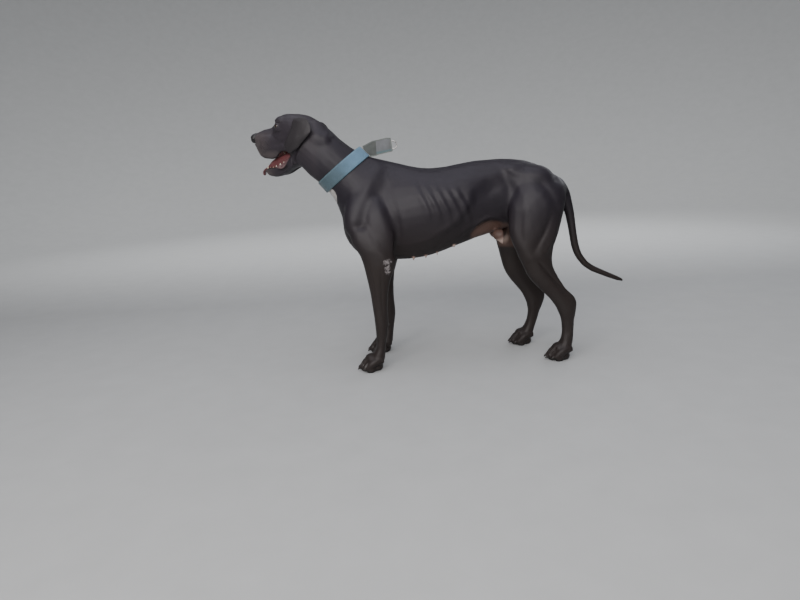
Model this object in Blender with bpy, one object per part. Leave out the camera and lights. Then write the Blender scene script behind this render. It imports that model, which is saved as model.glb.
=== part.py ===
"""A great dane standing still at life size, as a museum model of one lean black bitch.

She faces -X with her left side towards -Y. Her head is turned away from that side, her mouth is a
little open and her tail hangs. Lengths are in metres and the floor is z = 0. The flesh is made of
tapered forms fused into one body, which thin cuts then divide into the parts that a person names.
"""

import math

import bmesh
import bpy
import numpy as np
from mathutils import Vector
from mathutils.bvhtree import BVHTree

# Driving sizes
WITHERS_HEIGHT = 0.78
CUT = 0.0003                # gap between neighbouring parts
VOXEL = 0.0027              # grain of the fused body
HEAD_TURN = math.radians(22.0)
HEAD_PIVOT = (-0.25, 0.0)   # the skull's rear end, from above
EYE_RADIUS = 0.0125
EYE = (0.1555, 0.0335, 0.9125)   # an eyeball's centre in the head: forward, to its side, up
COLLAR_WIDTH = 0.050
COLLAR_THICKNESS = 0.0045
COLLAR_TOP = (-0.101, 0.805)     # middle of the strap at the crest of the neck
COLLAR_FOOT = (-0.251, 0.6920)   # and at the throat
BODY_FACES = 4150                # triangles kept in the trunk and the legs, in the head, in the feet
HEAD_FACES = 3500
FOOT_FACES = 2200

for old in list(bpy.data.objects):
    bpy.data.objects.remove(old, do_unlink=True)


# Small tools
def material(name, colour, roughness, metallic=0.0):
    made = bpy.data.materials.new(name)
    made.use_nodes = True
    shader = made.node_tree.nodes["Principled BSDF"]
    shader.inputs["Base Color"].default_value = (*colour, 1.0)
    shader.inputs["Roughness"].default_value = roughness
    shader.inputs["Metallic"].default_value = metallic
    made.diffuse_color = (*colour, 1.0)
    return made


def mesh_object(name, points, faces):
    mesh = bpy.data.meshes.new(name)
    mesh.from_pydata([tuple(p) for p in points], [], [tuple(f) for f in faces])
    mesh.update()
    made = bpy.data.objects.new(name, mesh)
    bpy.context.scene.collection.objects.link(made)
    return made


def between(rows, steps=4):
    """Rows of numbers read smoothly, with this many steps from each row to the next."""
    rows = np.array(rows, float)
    rows = np.vstack([2 * rows[0] - rows[1], rows, 2 * rows[-1] - rows[-2]])
    out = []
    for a, b, c, d in zip(rows, rows[1:], rows[2:], rows[3:]):
        for t in np.arange(steps) / steps:
            curve = 2 * b + (c - a) * t + (2 * a - 5 * b + 4 * c - d) * t**2
            out.append(0.5 * (curve + (3 * b - a - 3 * c + d) * t**3))
    out.append(rows[-2])
    return np.array(out)


def skin_loops(name, loops):
    """A closed surface over a stack of loops, each with the same number of points."""
    count, around = loops.shape[:2]
    points = loops.reshape(-1, 3)
    faces = []
    for i in range(count - 1):
        for j in range(around):
            k = (j + 1) % around
            a, b = i * around, (i + 1) * around
            faces.append((a + j, a + k, b + k, b + j))
    faces.append(tuple(reversed(range(around))))
    faces.append(tuple(range((count - 1) * around, count * around)))
    made = mesh_object(name, points, faces)
    level = bmesh.new()
    level.from_mesh(made.data)
    bmesh.ops.recalc_face_normals(level, faces=level.faces)
    bmesh.ops.triangulate(level, faces=[f for f in level.faces if len(f.verts) > 4])
    level.to_mesh(made.data)
    level.free()
    return made


def oval(centre, up, side, half_up, half_down, half_side, round_up=2.0, round_down=2.0, around=28):
    """Points of an oval about a centre, with its own shape above and below."""
    turn = np.arange(around) * 2 * math.pi / around
    c, s = np.cos(turn), np.sin(turn)
    power = np.where(s >= 0, 2 / round_up, 2 / round_down)
    across = np.sign(c) * np.abs(c) ** power * half_side
    along = np.sign(s) * np.abs(s) ** power * np.where(s >= 0, half_up, half_down)
    return centre + across[:, None] * side + along[:, None] * up


def form(name, rows, side=1, steps=4):
    """A form from its two edges in side view.

    Each row has the first edge (x, z), the second edge (x, z), the middle's y, half the width,
    where it is widest (0 at the second edge, 1 at the first) and how square the two ends are.
    """
    loops = []
    for x1, z1, x2, z2, y, half, widest, round1, round2 in between(rows, steps):
        first, second = np.array([x1, y * side, z1]), np.array([x2, y * side, z2])
        reach = np.linalg.norm(first - second)
        up = (first - second) / reach
        centre = second + up * reach * widest
        loops.append(oval(centre, up, np.array([0, 1.0, 0]), reach * (1 - widest),
                          reach * widest, max(half, 0.001), round1, round2))
    return skin_loops(name, np.array(loops))


def tube(name, rows, side=1, steps=4, lateral=(0, 1, 0), around=20):
    """A tapered tube through rows of x, y, z, half the width and half the depth."""
    rows = between(rows, steps)
    path = rows[:, :3] * (1, side, 1)
    along = np.gradient(path, axis=0)
    along /= np.linalg.norm(along, axis=1, keepdims=True)
    loops = []
    for centre, forward, (half, depth) in zip(path, along, rows[:, 3:5]):
        up = np.cross(forward, lateral)
        up /= np.linalg.norm(up)
        across = np.cross(up, forward)
        loops.append(oval(centre, up, across, depth, depth, half, around=around))
    return skin_loops(name, np.array(loops))


def lump(name, centre, radii, lean=0.0, yaw=0.0, segments=28, rings=16):
    """An egg-shaped swelling, leaning about Y and then turned about Z."""
    bpy.ops.mesh.primitive_uv_sphere_add(segments=segments, ring_count=rings, location=(0, 0, 0))
    made = bpy.context.active_object
    made.name = name
    points = np.array([v.co for v in made.data.vertices]) * radii
    c, s = math.cos(lean), math.sin(lean)
    points = points @ np.array([[c, 0, s], [0, 1, 0], [-s, 0, c]]).T
    c, s = math.cos(yaw), math.sin(yaw)
    points = points @ np.array([[c, -s, 0], [s, c, 0], [0, 0, 1]]).T + centre
    made.data.vertices.foreach_set("co", points.ravel())
    made.data.update()
    return made


def head_at(s, side, z):
    """A point of the head: s forward from the skull's rear, then towards its left, then up."""
    c, n = math.cos(HEAD_TURN), math.sin(HEAD_TURN)
    return np.array([HEAD_PIVOT[0] - s * c - side * n, HEAD_PIVOT[1] + s * n - side * c, z])


HEAD_SIDE = head_at(0, 1, 0) - head_at(0, 0, 0)


def head_form(name, rows, steps=4):
    """A form of the head from rows of s, top, bottom, widest height, half width, two roundings, side."""
    loops = []
    for s, top, bottom, widest, half, round1, round2, side in between(rows, steps):
        widest = min(max(widest, bottom + 0.001), top - 0.001)
        loops.append(oval(head_at(s, side, widest), np.array([0, 0, 1.0]), HEAD_SIDE, top - widest,
                          widest - bottom, max(half, 0.0008), round1, round2))
    return skin_loops(name, np.array(loops))


def fuse(name, pieces, voxel):
    """One closed surface round all the pieces."""
    bpy.ops.object.select_all(action="DESELECT")
    for piece in pieces:
        piece.select_set(True)
    bpy.context.view_layer.objects.active = pieces[0]
    bpy.ops.object.join()
    made = bpy.context.active_object
    made.name = name
    remesh = made.modifiers.new("Fuse", "REMESH")
    remesh.mode = "VOXEL"
    remesh.voxel_size = voxel
    remesh.adaptivity = 0.0
    bpy.ops.object.modifier_apply(modifier=remesh.name)
    return made


def relax(made, factor, times):
    smooth = made.modifiers.new("Relax", "SMOOTH")
    smooth.factor = factor
    smooth.iterations = times
    bpy.context.view_layer.objects.active = made
    bpy.ops.object.modifier_apply(modifier=smooth.name)


def points_of(made):
    flat = np.empty(len(made.data.vertices) * 3)
    made.data.vertices.foreach_get("co", flat)
    return flat.reshape(-1, 3)


def normals_of(made):
    flat = np.empty(len(made.data.vertices) * 3, np.float32)
    made.data.vertex_normals.foreach_get("vector", flat)
    return flat.reshape(-1, 3).astype(float)


def set_points(made, points):
    made.data.vertices.foreach_set("co", points.ravel())
    made.data.update()


def line_distance(flat, line):
    """How far each point of a plane is from a line of points in it, and how far along it is."""
    best = np.full(len(flat), 1e9)
    along = np.zeros(len(flat))
    count = len(line) - 1
    for i, (a, b) in enumerate(zip(line[:-1], line[1:])):
        d = b - a
        t = np.clip((flat - a) @ d / (d @ d), 0, 1)
        far = np.linalg.norm(flat - a - t[:, None] * d, axis=1)
        nearer = far < best
        best[nearer] = far[nearer]
        along[nearer] = (i + t[nearer]) / count
    return best, along


def stroke(points, normals, flat, mask, line, width, height, blunt=0.6):
    """Raise (or, below zero, press in) the surface along a line drawn in a flat view of it."""
    far, along = line_distance(flat, between(line, 4))
    fade = np.sin(np.pi * np.clip(along * 0.94 + 0.03, 0, 1)) ** blunt
    push = height * np.exp(-((far / width) ** 2)) * fade * mask
    return points + normals * push[:, None]


def flank_strokes(made, side, rows):
    """Muscle and bone lines on one flank, drawn in side view (x, z)."""
    for line, width, height in rows:
        points, normals = points_of(made), normals_of(made)
        mask = np.clip(normals[:, 1] * side * 2 - 0.1, 0, 1) * (points[:, 1] * side > 0.01)
        set_points(made, stroke(points, normals, points[:, [0, 2]], mask, line, width, height))


# The trunk, from the breast bone to the pin bones, by its back and belly lines
body = []
body.append(form("Trunk", [
    (-0.196, 0.600, -0.194, 0.515, 0, 0.016, 0.50, 2.0, 2.0),
    (-0.186, 0.640, -0.180, 0.478, 0, 0.052, 0.50, 2.0, 2.0),
    (-0.150, 0.715, -0.146, 0.436, 0, 0.083, 0.46, 2.0, 1.9),
    (-0.100, 0.760, -0.100, 0.413, 0, 0.096, 0.42, 1.7, 1.9),
    (-0.050, 0.777, -0.050, 0.405, 0, 0.102, 0.42, 1.5, 1.8),
    (0.000, 0.765, 0.000, 0.402, 0, 0.107, 0.44, 1.6, 1.8),
    (0.050, 0.750, 0.050, 0.4015, 0, 0.112, 0.48, 1.8, 1.8),
    (0.100, 0.7375, 0.100, 0.406, 0, 0.116, 0.51, 1.95, 1.8),
    (0.150, 0.7330, 0.150, 0.417, 0, 0.118, 0.52, 2.0, 1.8),
    (0.200, 0.7365, 0.200, 0.434, 0, 0.115, 0.52, 2.0, 1.75),
    (0.250, 0.7440, 0.250, 0.450, 0, 0.107, 0.54, 2.0, 1.7),
    (0.300, 0.7500, 0.300, 0.466, 0, 0.095, 0.56, 2.0, 1.65),
    (0.350, 0.7520, 0.350, 0.479, 0, 0.084, 0.58, 2.0, 1.6),
    (0.400, 0.7520, 0.400, 0.492, 0, 0.080, 0.60, 2.1, 1.6),
    (0.450, 0.7480, 0.450, 0.508, 0, 0.084, 0.62, 2.2, 1.6),
    (0.500, 0.7370, 0.500, 0.525, 0, 0.088, 0.62, 2.1, 1.7),
    (0.550, 0.7150, 0.550, 0.545, 0, 0.084, 0.58, 2.0, 1.8),
    (0.600, 0.6820, 0.600, 0.572, 0, 0.066, 0.52, 2.0, 2.0),
    (0.630, 0.6520, 0.630, 0.600, 0, 0.040, 0.50, 2.0, 2.0),
    (0.640, 0.6380, 0.640, 0.618, 0, 0.012, 0.50, 2.0, 2.0),
]))

# The neck, by its crest and throat
body.append(form("Neck", [
    (-0.268, 0.930, -0.352, 0.790, 0, 0.044, 0.50, 2.0, 2.0),
    (-0.246, 0.917, -0.328, 0.763, 0, 0.049, 0.50, 2.0, 2.1),
    (-0.215, 0.888, -0.304, 0.735, 0, 0.054, 0.50, 1.9, 2.1),
    (-0.182, 0.854, -0.281, 0.714, 0, 0.060, 0.50, 1.9, 2.1),
    (-0.147, 0.825, -0.257, 0.693, 0, 0.062, 0.49, 1.8, 2.1),
    (-0.115, 0.805, -0.234, 0.665, 0, 0.066, 0.48, 1.7, 2.1),
    (-0.085, 0.790, -0.214, 0.630, 0, 0.074, 0.47, 1.6, 2.1),
    (-0.055, 0.780, -0.201, 0.590, 0, 0.084, 0.46, 1.6, 2.1),
    (-0.025, 0.769, -0.188, 0.540, 0, 0.090, 0.45, 1.7, 2.0),
    (0.010, 0.750, -0.160, 0.490, 0, 0.090, 0.45, 1.8, 2.0),
]))


def foot(side, heel, y, length, half_width):
    """A foot of four arched toes in front of its pads, with the heel pad behind."""
    made = []
    front = heel - length
    for spread, set_back, size in ((-0.80, 0.019, 0.94), (-0.28, 0.0, 1.0), (0.28, 0.0, 1.0), (0.80, 0.019, 0.94)):
        at = y + spread * half_width
        tip = front + 0.010 + set_back
        made.append(tube("Toe", [
            (tip + 0.068, y + spread * half_width * 0.60, 0.044, 0.0110 * size, 0.0130 * size),
            (tip + 0.044, y + spread * half_width * 0.86, 0.0435 * size, 0.0120 * size, 0.0145 * size),
            (tip + 0.026, at, 0.0350 * size, 0.0125 * size, 0.0150 * size),
            (tip + 0.012, at, 0.0215 * size, 0.0120 * size, 0.0135 * size),
            (tip + 0.002, at, 0.0150 * size, 0.0095 * size, 0.0095 * size),
        ], side))
        made.append(lump("Toe pad", (tip + 0.018, at * side, 0.0090), (0.0165, 0.0110, 0.0120)))
        made.append(tube("Claw", [
            (tip + 0.008, at, 0.0190, 0.0048, 0.0060),
            (tip - 0.003, at, 0.0160, 0.0043, 0.0053),
            (tip - 0.0105, at, 0.0090, 0.0024, 0.0028),
        ], side, 3))
    made.append(lump("Heel pad", (front + 0.068, y * side, 0.0130), (0.026, 0.028, 0.0165)))
    made.append(lump("Foot", (front + 0.062, y * side, 0.040), (0.036, half_width * 0.84, 0.024), 0.35))
    return made


def front_leg(side, back=0.0, foot_back=0.0):
    """One front leg, whose elbow and foot may stand further back."""
    made = []
    rows = [
        (-0.174, 0.545, -0.045, 0.530, 0.090, 0.040, 0.50, 2.0, 2.0),
        (-0.168, 0.512, -0.030, 0.490, 0.100, 0.041, 0.50, 2.0, 2.0),
        (-0.156, 0.477, -0.018, 0.455, 0.107, 0.040, 0.50, 2.0, 2.0),
        (-0.136, 0.444, -0.007, 0.424, 0.110, 0.038, 0.50, 2.0, 2.0),
        (-0.125, 0.410, -0.009, 0.398, 0.111, 0.0355, 0.52, 2.1, 1.8),
        (-0.119, 0.375, -0.020, 0.370, 0.110, 0.0325, 0.52, 2.1, 1.8),
        (-0.112, 0.335, -0.033, 0.335, 0.109, 0.0290, 0.52, 2.1, 1.8),
        (-0.106, 0.290, -0.042, 0.290, 0.108, 0.0260, 0.52, 2.1, 1.8),
        (-0.102, 0.240, -0.047, 0.240, 0.107, 0.0240, 0.52, 2.1, 1.9),
        (-0.099, 0.205, -0.048, 0.205, 0.106, 0.0250, 0.55, 2.2, 1.9),
        (-0.0975, 0.175, -0.048, 0.175, 0.105, 0.0260, 0.58, 2.3, 1.8),
        (-0.0970, 0.150, -0.051, 0.150, 0.105, 0.0235, 0.58, 2.2, 1.7),
        (-0.0965, 0.120, -0.059, 0.117, 0.105, 0.0215, 0.55, 2.2, 2.0),
        (-0.0995, 0.090, -0.065, 0.082, 0.105, 0.0235, 0.52, 2.2, 2.2),
        (-0.112, 0.068, -0.069, 0.050, 0.105, 0.0300, 0.50, 2.2, 2.2),
        (-0.126, 0.050, -0.076, 0.028, 0.105, 0.0320, 0.50, 2.2, 2.2),
    ]
    shifted = []
    for x1, z1, x2, z2, *rest in rows:
        share = min(max((0.42 - z1) / 0.30, 0.0), 1.0)
        top = min(max((0.545 - z1) / 0.1, 0.0), 1.0)
        move = back * top + (foot_back - back) * share
        shifted.append((x1 + move, z1, x2 + move, z2, *rest))
    made.append(form("Arm", shifted, side))
    made.extend(foot(side, -0.066 + foot_back, 0.105, 0.106, 0.038))
    # The shoulder blade's slope, the point of the shoulder and the triceps
    made.append(tube("Shoulder blade", [
        (-0.040 + back * 0.4, 0.026, 0.740, 0.022, 0.034),
        (-0.070 + back * 0.4, 0.044, 0.695, 0.030, 0.052),
        (-0.105 + back * 0.6, 0.061, 0.640, 0.036, 0.060),
        (-0.136 + back * 0.8, 0.076, 0.585, 0.039, 0.050),
        (-0.148 + back, 0.086, 0.545, 0.036, 0.040),
    ], side))
    made.append(tube("Triceps", [
        (-0.070 + back, 0.070, 0.640, 0.026, 0.030),
        (-0.068 + back, 0.082, 0.595, 0.034, 0.050),
        (-0.068 + back, 0.093, 0.540, 0.037, 0.062),
        (-0.058 + back, 0.103, 0.482, 0.034, 0.054),
        (-0.040 + back, 0.110, 0.435, 0.026, 0.030),
    ], side))
    made.append(lump("Point of shoulder", (-0.152 + back * 0.6, 0.076 * side, 0.556),
                     (0.036, 0.042, 0.052)))
    return made


def hind_leg(side, stifle=(0.0, 0.0), hock=(0.0, 0.0), foot_move=0.0):
    """One hind leg. The moves of its stifle, hock and foot are measured from the left leg's."""
    made = []
    rows = [
        (0.445, 0.705, 0.600, 0.690, 0.046, 0.036, 0.50, 2.0, 2.0),
        (0.428, 0.650, 0.622, 0.628, 0.060, 0.052, 0.50, 2.0, 2.0),
        (0.415, 0.590, 0.616, 0.580, 0.071, 0.054, 0.50, 2.0, 2.0),
        (0.409, 0.535, 0.604, 0.530, 0.078, 0.051, 0.52, 2.0, 1.9),
        (0.410, 0.490, 0.590, 0.478, 0.084, 0.047, 0.54, 2.0, 1.8),
        (0.420, 0.455, 0.575, 0.440, 0.089, 0.042, 0.56, 2.1, 1.8),
        (0.436, 0.417, 0.567, 0.402, 0.093, 0.038, 0.58, 2.1, 1.7),
        (0.451, 0.382, 0.566, 0.370, 0.096, 0.034, 0.58, 2.1, 1.7),
        (0.474, 0.330, 0.577, 0.338, 0.098, 0.031, 0.58, 2.1, 1.7),
        (0.503, 0.292, 0.597, 0.302, 0.100, 0.0265, 0.60, 2.0, 1.6),
        (0.533, 0.262, 0.622, 0.268, 0.100, 0.0230, 0.62, 2.0, 1.5),
        (0.560, 0.233, 0.648, 0.242, 0.100, 0.0215, 0.62, 2.0, 1.5),
        (0.580, 0.203, 0.657, 0.217, 0.100, 0.0225, 0.62, 2.1, 1.7),
        (0.592, 0.177, 0.654, 0.182, 0.100, 0.0225, 0.60, 2.1, 1.9),
        (0.600, 0.150, 0.648, 0.150, 0.100, 0.0195, 0.55, 2.2, 2.0),
        (0.603, 0.110, 0.646, 0.108, 0.101, 0.0185, 0.55, 2.2, 2.0),
        (0.598, 0.078, 0.642, 0.070, 0.102, 0.0220, 0.52, 2.2, 2.2),
        (0.588, 0.060, 0.636, 0.044, 0.103, 0.0280, 0.50, 2.2, 2.2),
        (0.578, 0.046, 0.626, 0.024, 0.103, 0.0300, 0.50, 2.2, 2.2),
    ]
    heights = (0.0, 0.06, 0.21, 0.42, 0.56, 0.72)
    moves_x = (foot_move, foot_move, hock[0], stifle[0], stifle[0] * 0.35, 0.0)
    moves_z = (0.0, 0.0, hock[1], stifle[1], 0.0, 0.0)
    shifted = []
    for x1, z1, x2, z2, *rest in rows:
        shifted.append((x1 + np.interp(z1, heights, moves_x), z1 + np.interp(z1, heights, moves_z),
                        x2 + np.interp(z2, heights, moves_x), z2 + np.interp(z2, heights, moves_z), *rest))
    made.append(form("Leg", shifted, side))
    made.extend(foot(side, 0.640 + foot_move, 0.103, 0.102, 0.035))
    made.append(lump("Rump muscle", (0.520, 0.054 * side, 0.668), (0.082, 0.046, 0.056), 0.30))
    made.append(lump("Hip bone", (0.440, 0.050 * side, 0.708), (0.044, 0.026, 0.026), 0.2))
    made.append(lump("Pin bone", (0.596, 0.040 * side, 0.636), (0.028, 0.022, 0.034)))
    made.append(lump("Kneecap", (0.466 + stifle[0], 0.096 * side, 0.416 + stifle[1]), (0.024, 0.031, 0.036), 0.3))
    return made


body += front_leg(-1)
body += front_leg(1, back=0.014, foot_back=0.030)
body += hind_leg(-1)
body += hind_leg(1, stifle=(-0.036, -0.004), hock=(-0.068, -0.018), foot_move=-0.098)

# The tail, hanging and swept back at its tip
body.append(tube("Tail", [
    (0.570, 0.000, 0.660, 0.016, 0.012),
    (0.604, 0.000, 0.650, 0.025, 0.023),
    (0.629, 0.000, 0.622, 0.0235, 0.0225),
    (0.6440, 0.000, 0.580, 0.0195, 0.0195),
    (0.6570, -0.001, 0.530, 0.0165, 0.0160),
    (0.6665, -0.002, 0.474, 0.0145, 0.0140),
    (0.6785, -0.003, 0.408, 0.0135, 0.0135),
    (0.7000, -0.005, 0.363, 0.0125, 0.0125),
    (0.7340, -0.007, 0.329, 0.0115, 0.0115),
    (0.7880, -0.010, 0.302, 0.0100, 0.0100),
    (0.8400, -0.012, 0.279, 0.0080, 0.0080),
    (0.8620, -0.013, 0.270, 0.0045, 0.0045),
]))

# The milk line: a full pair of glands at the groin and smaller teats along the belly
for side in (1, -1):
    body.append(lump("Gland", (0.390, 0.040 * side, 0.476), (0.036, 0.026, 0.024), 0.25))
    body.append(lump("Gland end", (0.401, 0.043 * side, 0.456), (0.019, 0.016, 0.016), 0.2))
    body.append(lump("Teat", (0.406, 0.046 * side, 0.440), (0.0066, 0.0066, 0.0105), -0.2))
for x, y, z in ((0.060, 0.036, 0.4060), (0.107, 0.040, 0.4110), (0.150, 0.040, 0.4190), (0.214, 0.036, 0.4440)):
    for side in (1, -1):
        body.append(lump("Teat", (x, y * side, z), (0.0058, 0.0058, 0.0100)))

# The head: skull, brows, cheeks, muzzle and hanging upper lips
head = []
head.append(head_form("Skull and muzzle", [
    (-0.045, 0.880, 0.800, 0.845, 0.036, 2.0, 2.0, 0),
    (-0.015, 0.902, 0.785, 0.855, 0.052, 2.0, 2.0, 0),
    (0.012, 0.923, 0.785, 0.862, 0.0585, 2.0, 2.0, 0),
    (0.042, 0.942, 0.790, 0.865, 0.0605, 2.1, 2.0, 0),
    (0.075, 0.951, 0.800, 0.865, 0.0600, 2.2, 2.1, 0),
    (0.108, 0.955, 0.812, 0.867, 0.0555, 2.4, 2.1, 0),
    (0.132, 0.956, 0.820, 0.870, 0.0500, 2.6, 2.2, 0),
    (0.150, 0.953, 0.824, 0.870, 0.0465, 2.7, 2.3, 0),
    (0.162, 0.946, 0.826, 0.868, 0.0435, 2.6, 2.4, 0),
    (0.171, 0.932, 0.827, 0.866, 0.0400, 2.4, 2.4, 0),
    (0.180, 0.9180, 0.827, 0.864, 0.0370, 2.3, 2.4, 0),
    (0.192, 0.9125, 0.827, 0.864, 0.0350, 2.3, 2.4, 0),
    (0.211, 0.9105, 0.827, 0.864, 0.0345, 2.3, 2.4, 0),
    (0.234, 0.9070, 0.828, 0.864, 0.0340, 2.3, 2.4, 0),
    (0.254, 0.9015, 0.831, 0.866, 0.0320, 2.3, 2.4, 0),
    (0.269, 0.8960, 0.840, 0.870, 0.0265, 2.3, 2.3, 0),
    (0.281, 0.8910, 0.855, 0.876, 0.0180, 2.2, 2.2, 0),
    (0.287, 0.8870, 0.866, 0.878, 0.0090, 2.0, 2.0, 0),
]))
for side in (1, -1):
    head.append(head_form("Upper lip", [
        (0.105, 0.840, 0.8160, 0.830, 0.0060, 2.0, 2.0, 0.0440 * side),
        (0.127, 0.855, 0.8225, 0.835, 0.0090, 2.0, 2.0, 0.0420 * side),
        (0.146, 0.870, 0.8225, 0.842, 0.0105, 2.0, 2.0, 0.0380 * side),
        (0.160, 0.880, 0.8150, 0.842, 0.0115, 2.0, 2.0, 0.0355 * side),
        (0.173, 0.882, 0.8030, 0.840, 0.0120, 2.0, 2.0, 0.0340 * side),
        (0.190, 0.885, 0.7985, 0.840, 0.0120, 2.0, 2.0, 0.0330 * side),
        (0.209, 0.885, 0.8000, 0.841, 0.0120, 2.0, 2.0, 0.0320 * side),
        (0.228, 0.885, 0.8030, 0.844, 0.0120, 2.0, 2.0, 0.0295 * side),
        (0.246, 0.885, 0.8110, 0.850, 0.0120, 2.0, 2.0, 0.0245 * side),
        (0.261, 0.883, 0.8270, 0.857, 0.0115, 2.0, 2.0, 0.0165 * side),
        (0.272, 0.880, 0.8440, 0.864, 0.0095, 2.0, 2.0, 0.0090 * side),
    ]))
    head.append(lump("Lids", head_at(*(EYE * np.array([1, side, 1]))), [EYE_RADIUS + 0.0021] * 3))
    head.append(lump("Brow", head_at(0.1450, 0.0265 * side, 0.9345), (0.029, 0.018, 0.016), 0.20, -HEAD_TURN))
    head.append(lump("Cheek", head_at(0.078, 0.0420 * side, 0.846), (0.046, 0.018, 0.044), 0.2, -HEAD_TURN))
    head.append(lump("Cheek bone", head_at(0.118, 0.0380 * side, 0.884), (0.046, 0.0105, 0.015), 0.10, -HEAD_TURN))
    head.append(lump("Mouth corner", head_at(0.092, 0.038 * side, 0.812), (0.022, 0.009, 0.024), 0.3, -HEAD_TURN))
    head.append(lump("Jaw angle", head_at(0.052, 0.034 * side, 0.812), (0.050, 0.025, 0.040), 0.5, -HEAD_TURN))
head.append(head_form("Nose leather", [
    (0.256, 0.8985, 0.866, 0.884, 0.0180, 2.2, 2.2, 0),
    (0.271, 0.8985, 0.8600, 0.882, 0.0225, 2.4, 2.2, 0),
    (0.283, 0.8955, 0.8580, 0.880, 0.0235, 2.4, 2.2, 0),
    (0.290, 0.8915, 0.8610, 0.878, 0.0195, 2.2, 2.0, 0),
    (0.2935, 0.8870, 0.8670, 0.878, 0.0110, 2.0, 2.0, 0),
]))

# The lower jaw, open, with its lips
head.append(head_form("Lower jaw", [
    (0.050, 0.840, 0.7620, 0.800, 0.040, 2.0, 2.0, 0),
    (0.080, 0.826, 0.7660, 0.790, 0.042, 2.0, 2.0, 0),
    (0.100, 0.812, 0.7660, 0.783, 0.0405, 2.2, 2.0, 0),
    (0.118, 0.792, 0.7620, 0.776, 0.0380, 2.4, 2.0, 0),
    (0.137, 0.7760, 0.7545, 0.765, 0.0345, 2.4, 2.0, 0),
    (0.160, 0.7640, 0.7420, 0.754, 0.0305, 2.6, 2.0, 0),
    (0.183, 0.7590, 0.7350, 0.748, 0.0265, 2.6, 2.0, 0),
    (0.207, 0.7590, 0.7330, 0.747, 0.0235, 2.6, 2.0, 0),
    (0.227, 0.7610, 0.7380, 0.750, 0.0195, 2.6, 2.1, 0),
    (0.240, 0.7630, 0.7460, 0.755, 0.0125, 2.4, 2.1, 0),
    (0.2445, 0.7615, 0.7520, 0.757, 0.0060, 2.0, 2.0, 0),
]))
for side in (1, -1):
    head.append(head_form("Lower lip", [
        (0.103, 0.812, 0.7700, 0.790, 0.0060, 2.0, 2.0, 0.0410 * side),
        (0.121, 0.7960, 0.7600, 0.780, 0.0060, 2.0, 2.0, 0.0375 * side),
        (0.138, 0.7780, 0.7510, 0.766, 0.0060, 2.0, 2.0, 0.0340 * side),
        (0.153, 0.7685, 0.7430, 0.757, 0.0060, 2.0, 2.0, 0.0305 * side),
        (0.174, 0.7680, 0.7370, 0.753, 0.0060, 2.0, 2.0, 0.0265 * side),
        (0.198, 0.7690, 0.7350, 0.753, 0.0058, 2.0, 2.0, 0.0230 * side),
        (0.221, 0.7690, 0.7385, 0.755, 0.0056, 2.0, 2.0, 0.0180 * side),
        (0.237, 0.7680, 0.7450, 0.758, 0.0050, 2.0, 2.0, 0.0105 * side),
    ]))


def ear(side, forward=0.0, drop=0.0):
    """A drop ear: a leaf that rises from the skull, folds over and hangs by the cheek."""
    thick = 0.0041
    rows = between([
        # height, front and rear edge, how far out, how far the rims bend in
        (0.9050, 0.064, 0.022, 0.0420, 0.000),
        (0.9230, 0.067, 0.020, 0.0520, 0.000),
        (0.9330, 0.070, 0.020, 0.0600, 0.000),
        (0.9320, 0.074, 0.012, 0.0665, 0.001),
        (0.9210, 0.0770, 0.003, 0.0710, 0.002),
        (0.9022, 0.0820, -0.006, 0.0745, 0.003),
        (0.8890, 0.0895, -0.006, 0.0770, 0.003),
        (0.8767, 0.0970, -0.004, 0.0790, 0.003),
        (0.8659, 0.1035, 0.010, 0.0805, 0.003),
        (0.8538, 0.1100, 0.025, 0.0805, 0.003),
        (0.8445, 0.1130, 0.038, 0.0795, 0.002),
        (0.8318, 0.1105, 0.053, 0.0775, 0.001),
        (0.8210, 0.1040, 0.076, 0.0750, 0.000),
        (0.8150, 0.0970, 0.088, 0.0735, 0.000),
    ], 4)
    loops = []
    for i, (z, front, rear, out, bend) in enumerate(rows):
        before, after = rows[max(i - 1, 0)], rows[min(i + 1, len(rows) - 1)]
        down = np.array([after[3] - before[3], after[0] - before[0]])
        normal = np.array([-down[1], down[0]]) / np.linalg.norm(down)
        loop = []
        for turn in np.arange(24) * 2 * math.pi / 24:
            u = math.cos(turn)
            lift = math.copysign(abs(math.sin(turn)) ** 0.7, math.sin(turn)) * thick
            s = (front + rear) / 2 + u * (front - rear) / 2 + forward
            loop.append(head_at(s, (out - bend * u * u * 1.6 + normal[0] * lift) * side, z - drop + normal[1] * lift))
        loops.append(loop)
    return skin_loops("Ear", np.array(loops))


head.append(ear(1))
head.append(ear(-1, forward=0.004, drop=0.012))

flesh = fuse("Flesh", body + head, VOXEL)


def head_frame(points):
    """Points as forward, towards the left and up in the head."""
    c, n = math.cos(HEAD_TURN), math.sin(HEAD_TURN)
    x, y = points[:, 0] - HEAD_PIVOT[0], points[:, 1] - HEAD_PIVOT[1]
    return np.stack([-x * c + y * n, -x * n - y * c, points[:, 2]], axis=1)


def settle(made):
    """Let the forms run into each other: widely on the trunk, less on the legs, least on the head and feet."""
    points = points_of(made)
    x, z = points[:, 0], points[:, 2]
    trunk = np.clip((z - 0.40) / 0.10, 0, 1) * np.clip((x + 0.235 + np.clip(z - 0.70, 0, 1) * 0.6) / 0.06, 0, 1)
    trunk *= np.clip((0.600 - x) / 0.04, 0, 1)
    legs = np.clip((z - 0.075) / 0.05, 0, 1) * (x > -0.215) * (x < 0.66)
    for name, weights, times in (("Trunk", trunk, 60), ("Legs", legs, 12)):
        group = made.vertex_groups.new(name=name)
        for level in range(1, 11):
            chosen = np.nonzero(np.round(weights * 10).astype(int) == level)[0]
            group.add(chosen.tolist(), level / 10, "REPLACE")
        smooth = made.modifiers.new(name, "SMOOTH")
        smooth.factor = 0.5
        smooth.iterations = times
        smooth.vertex_group = name
        bpy.context.view_layer.objects.active = made
        bpy.ops.object.modifier_apply(modifier=smooth.name)
    relax(made, 0.5, 3)


settle(flesh)


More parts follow.
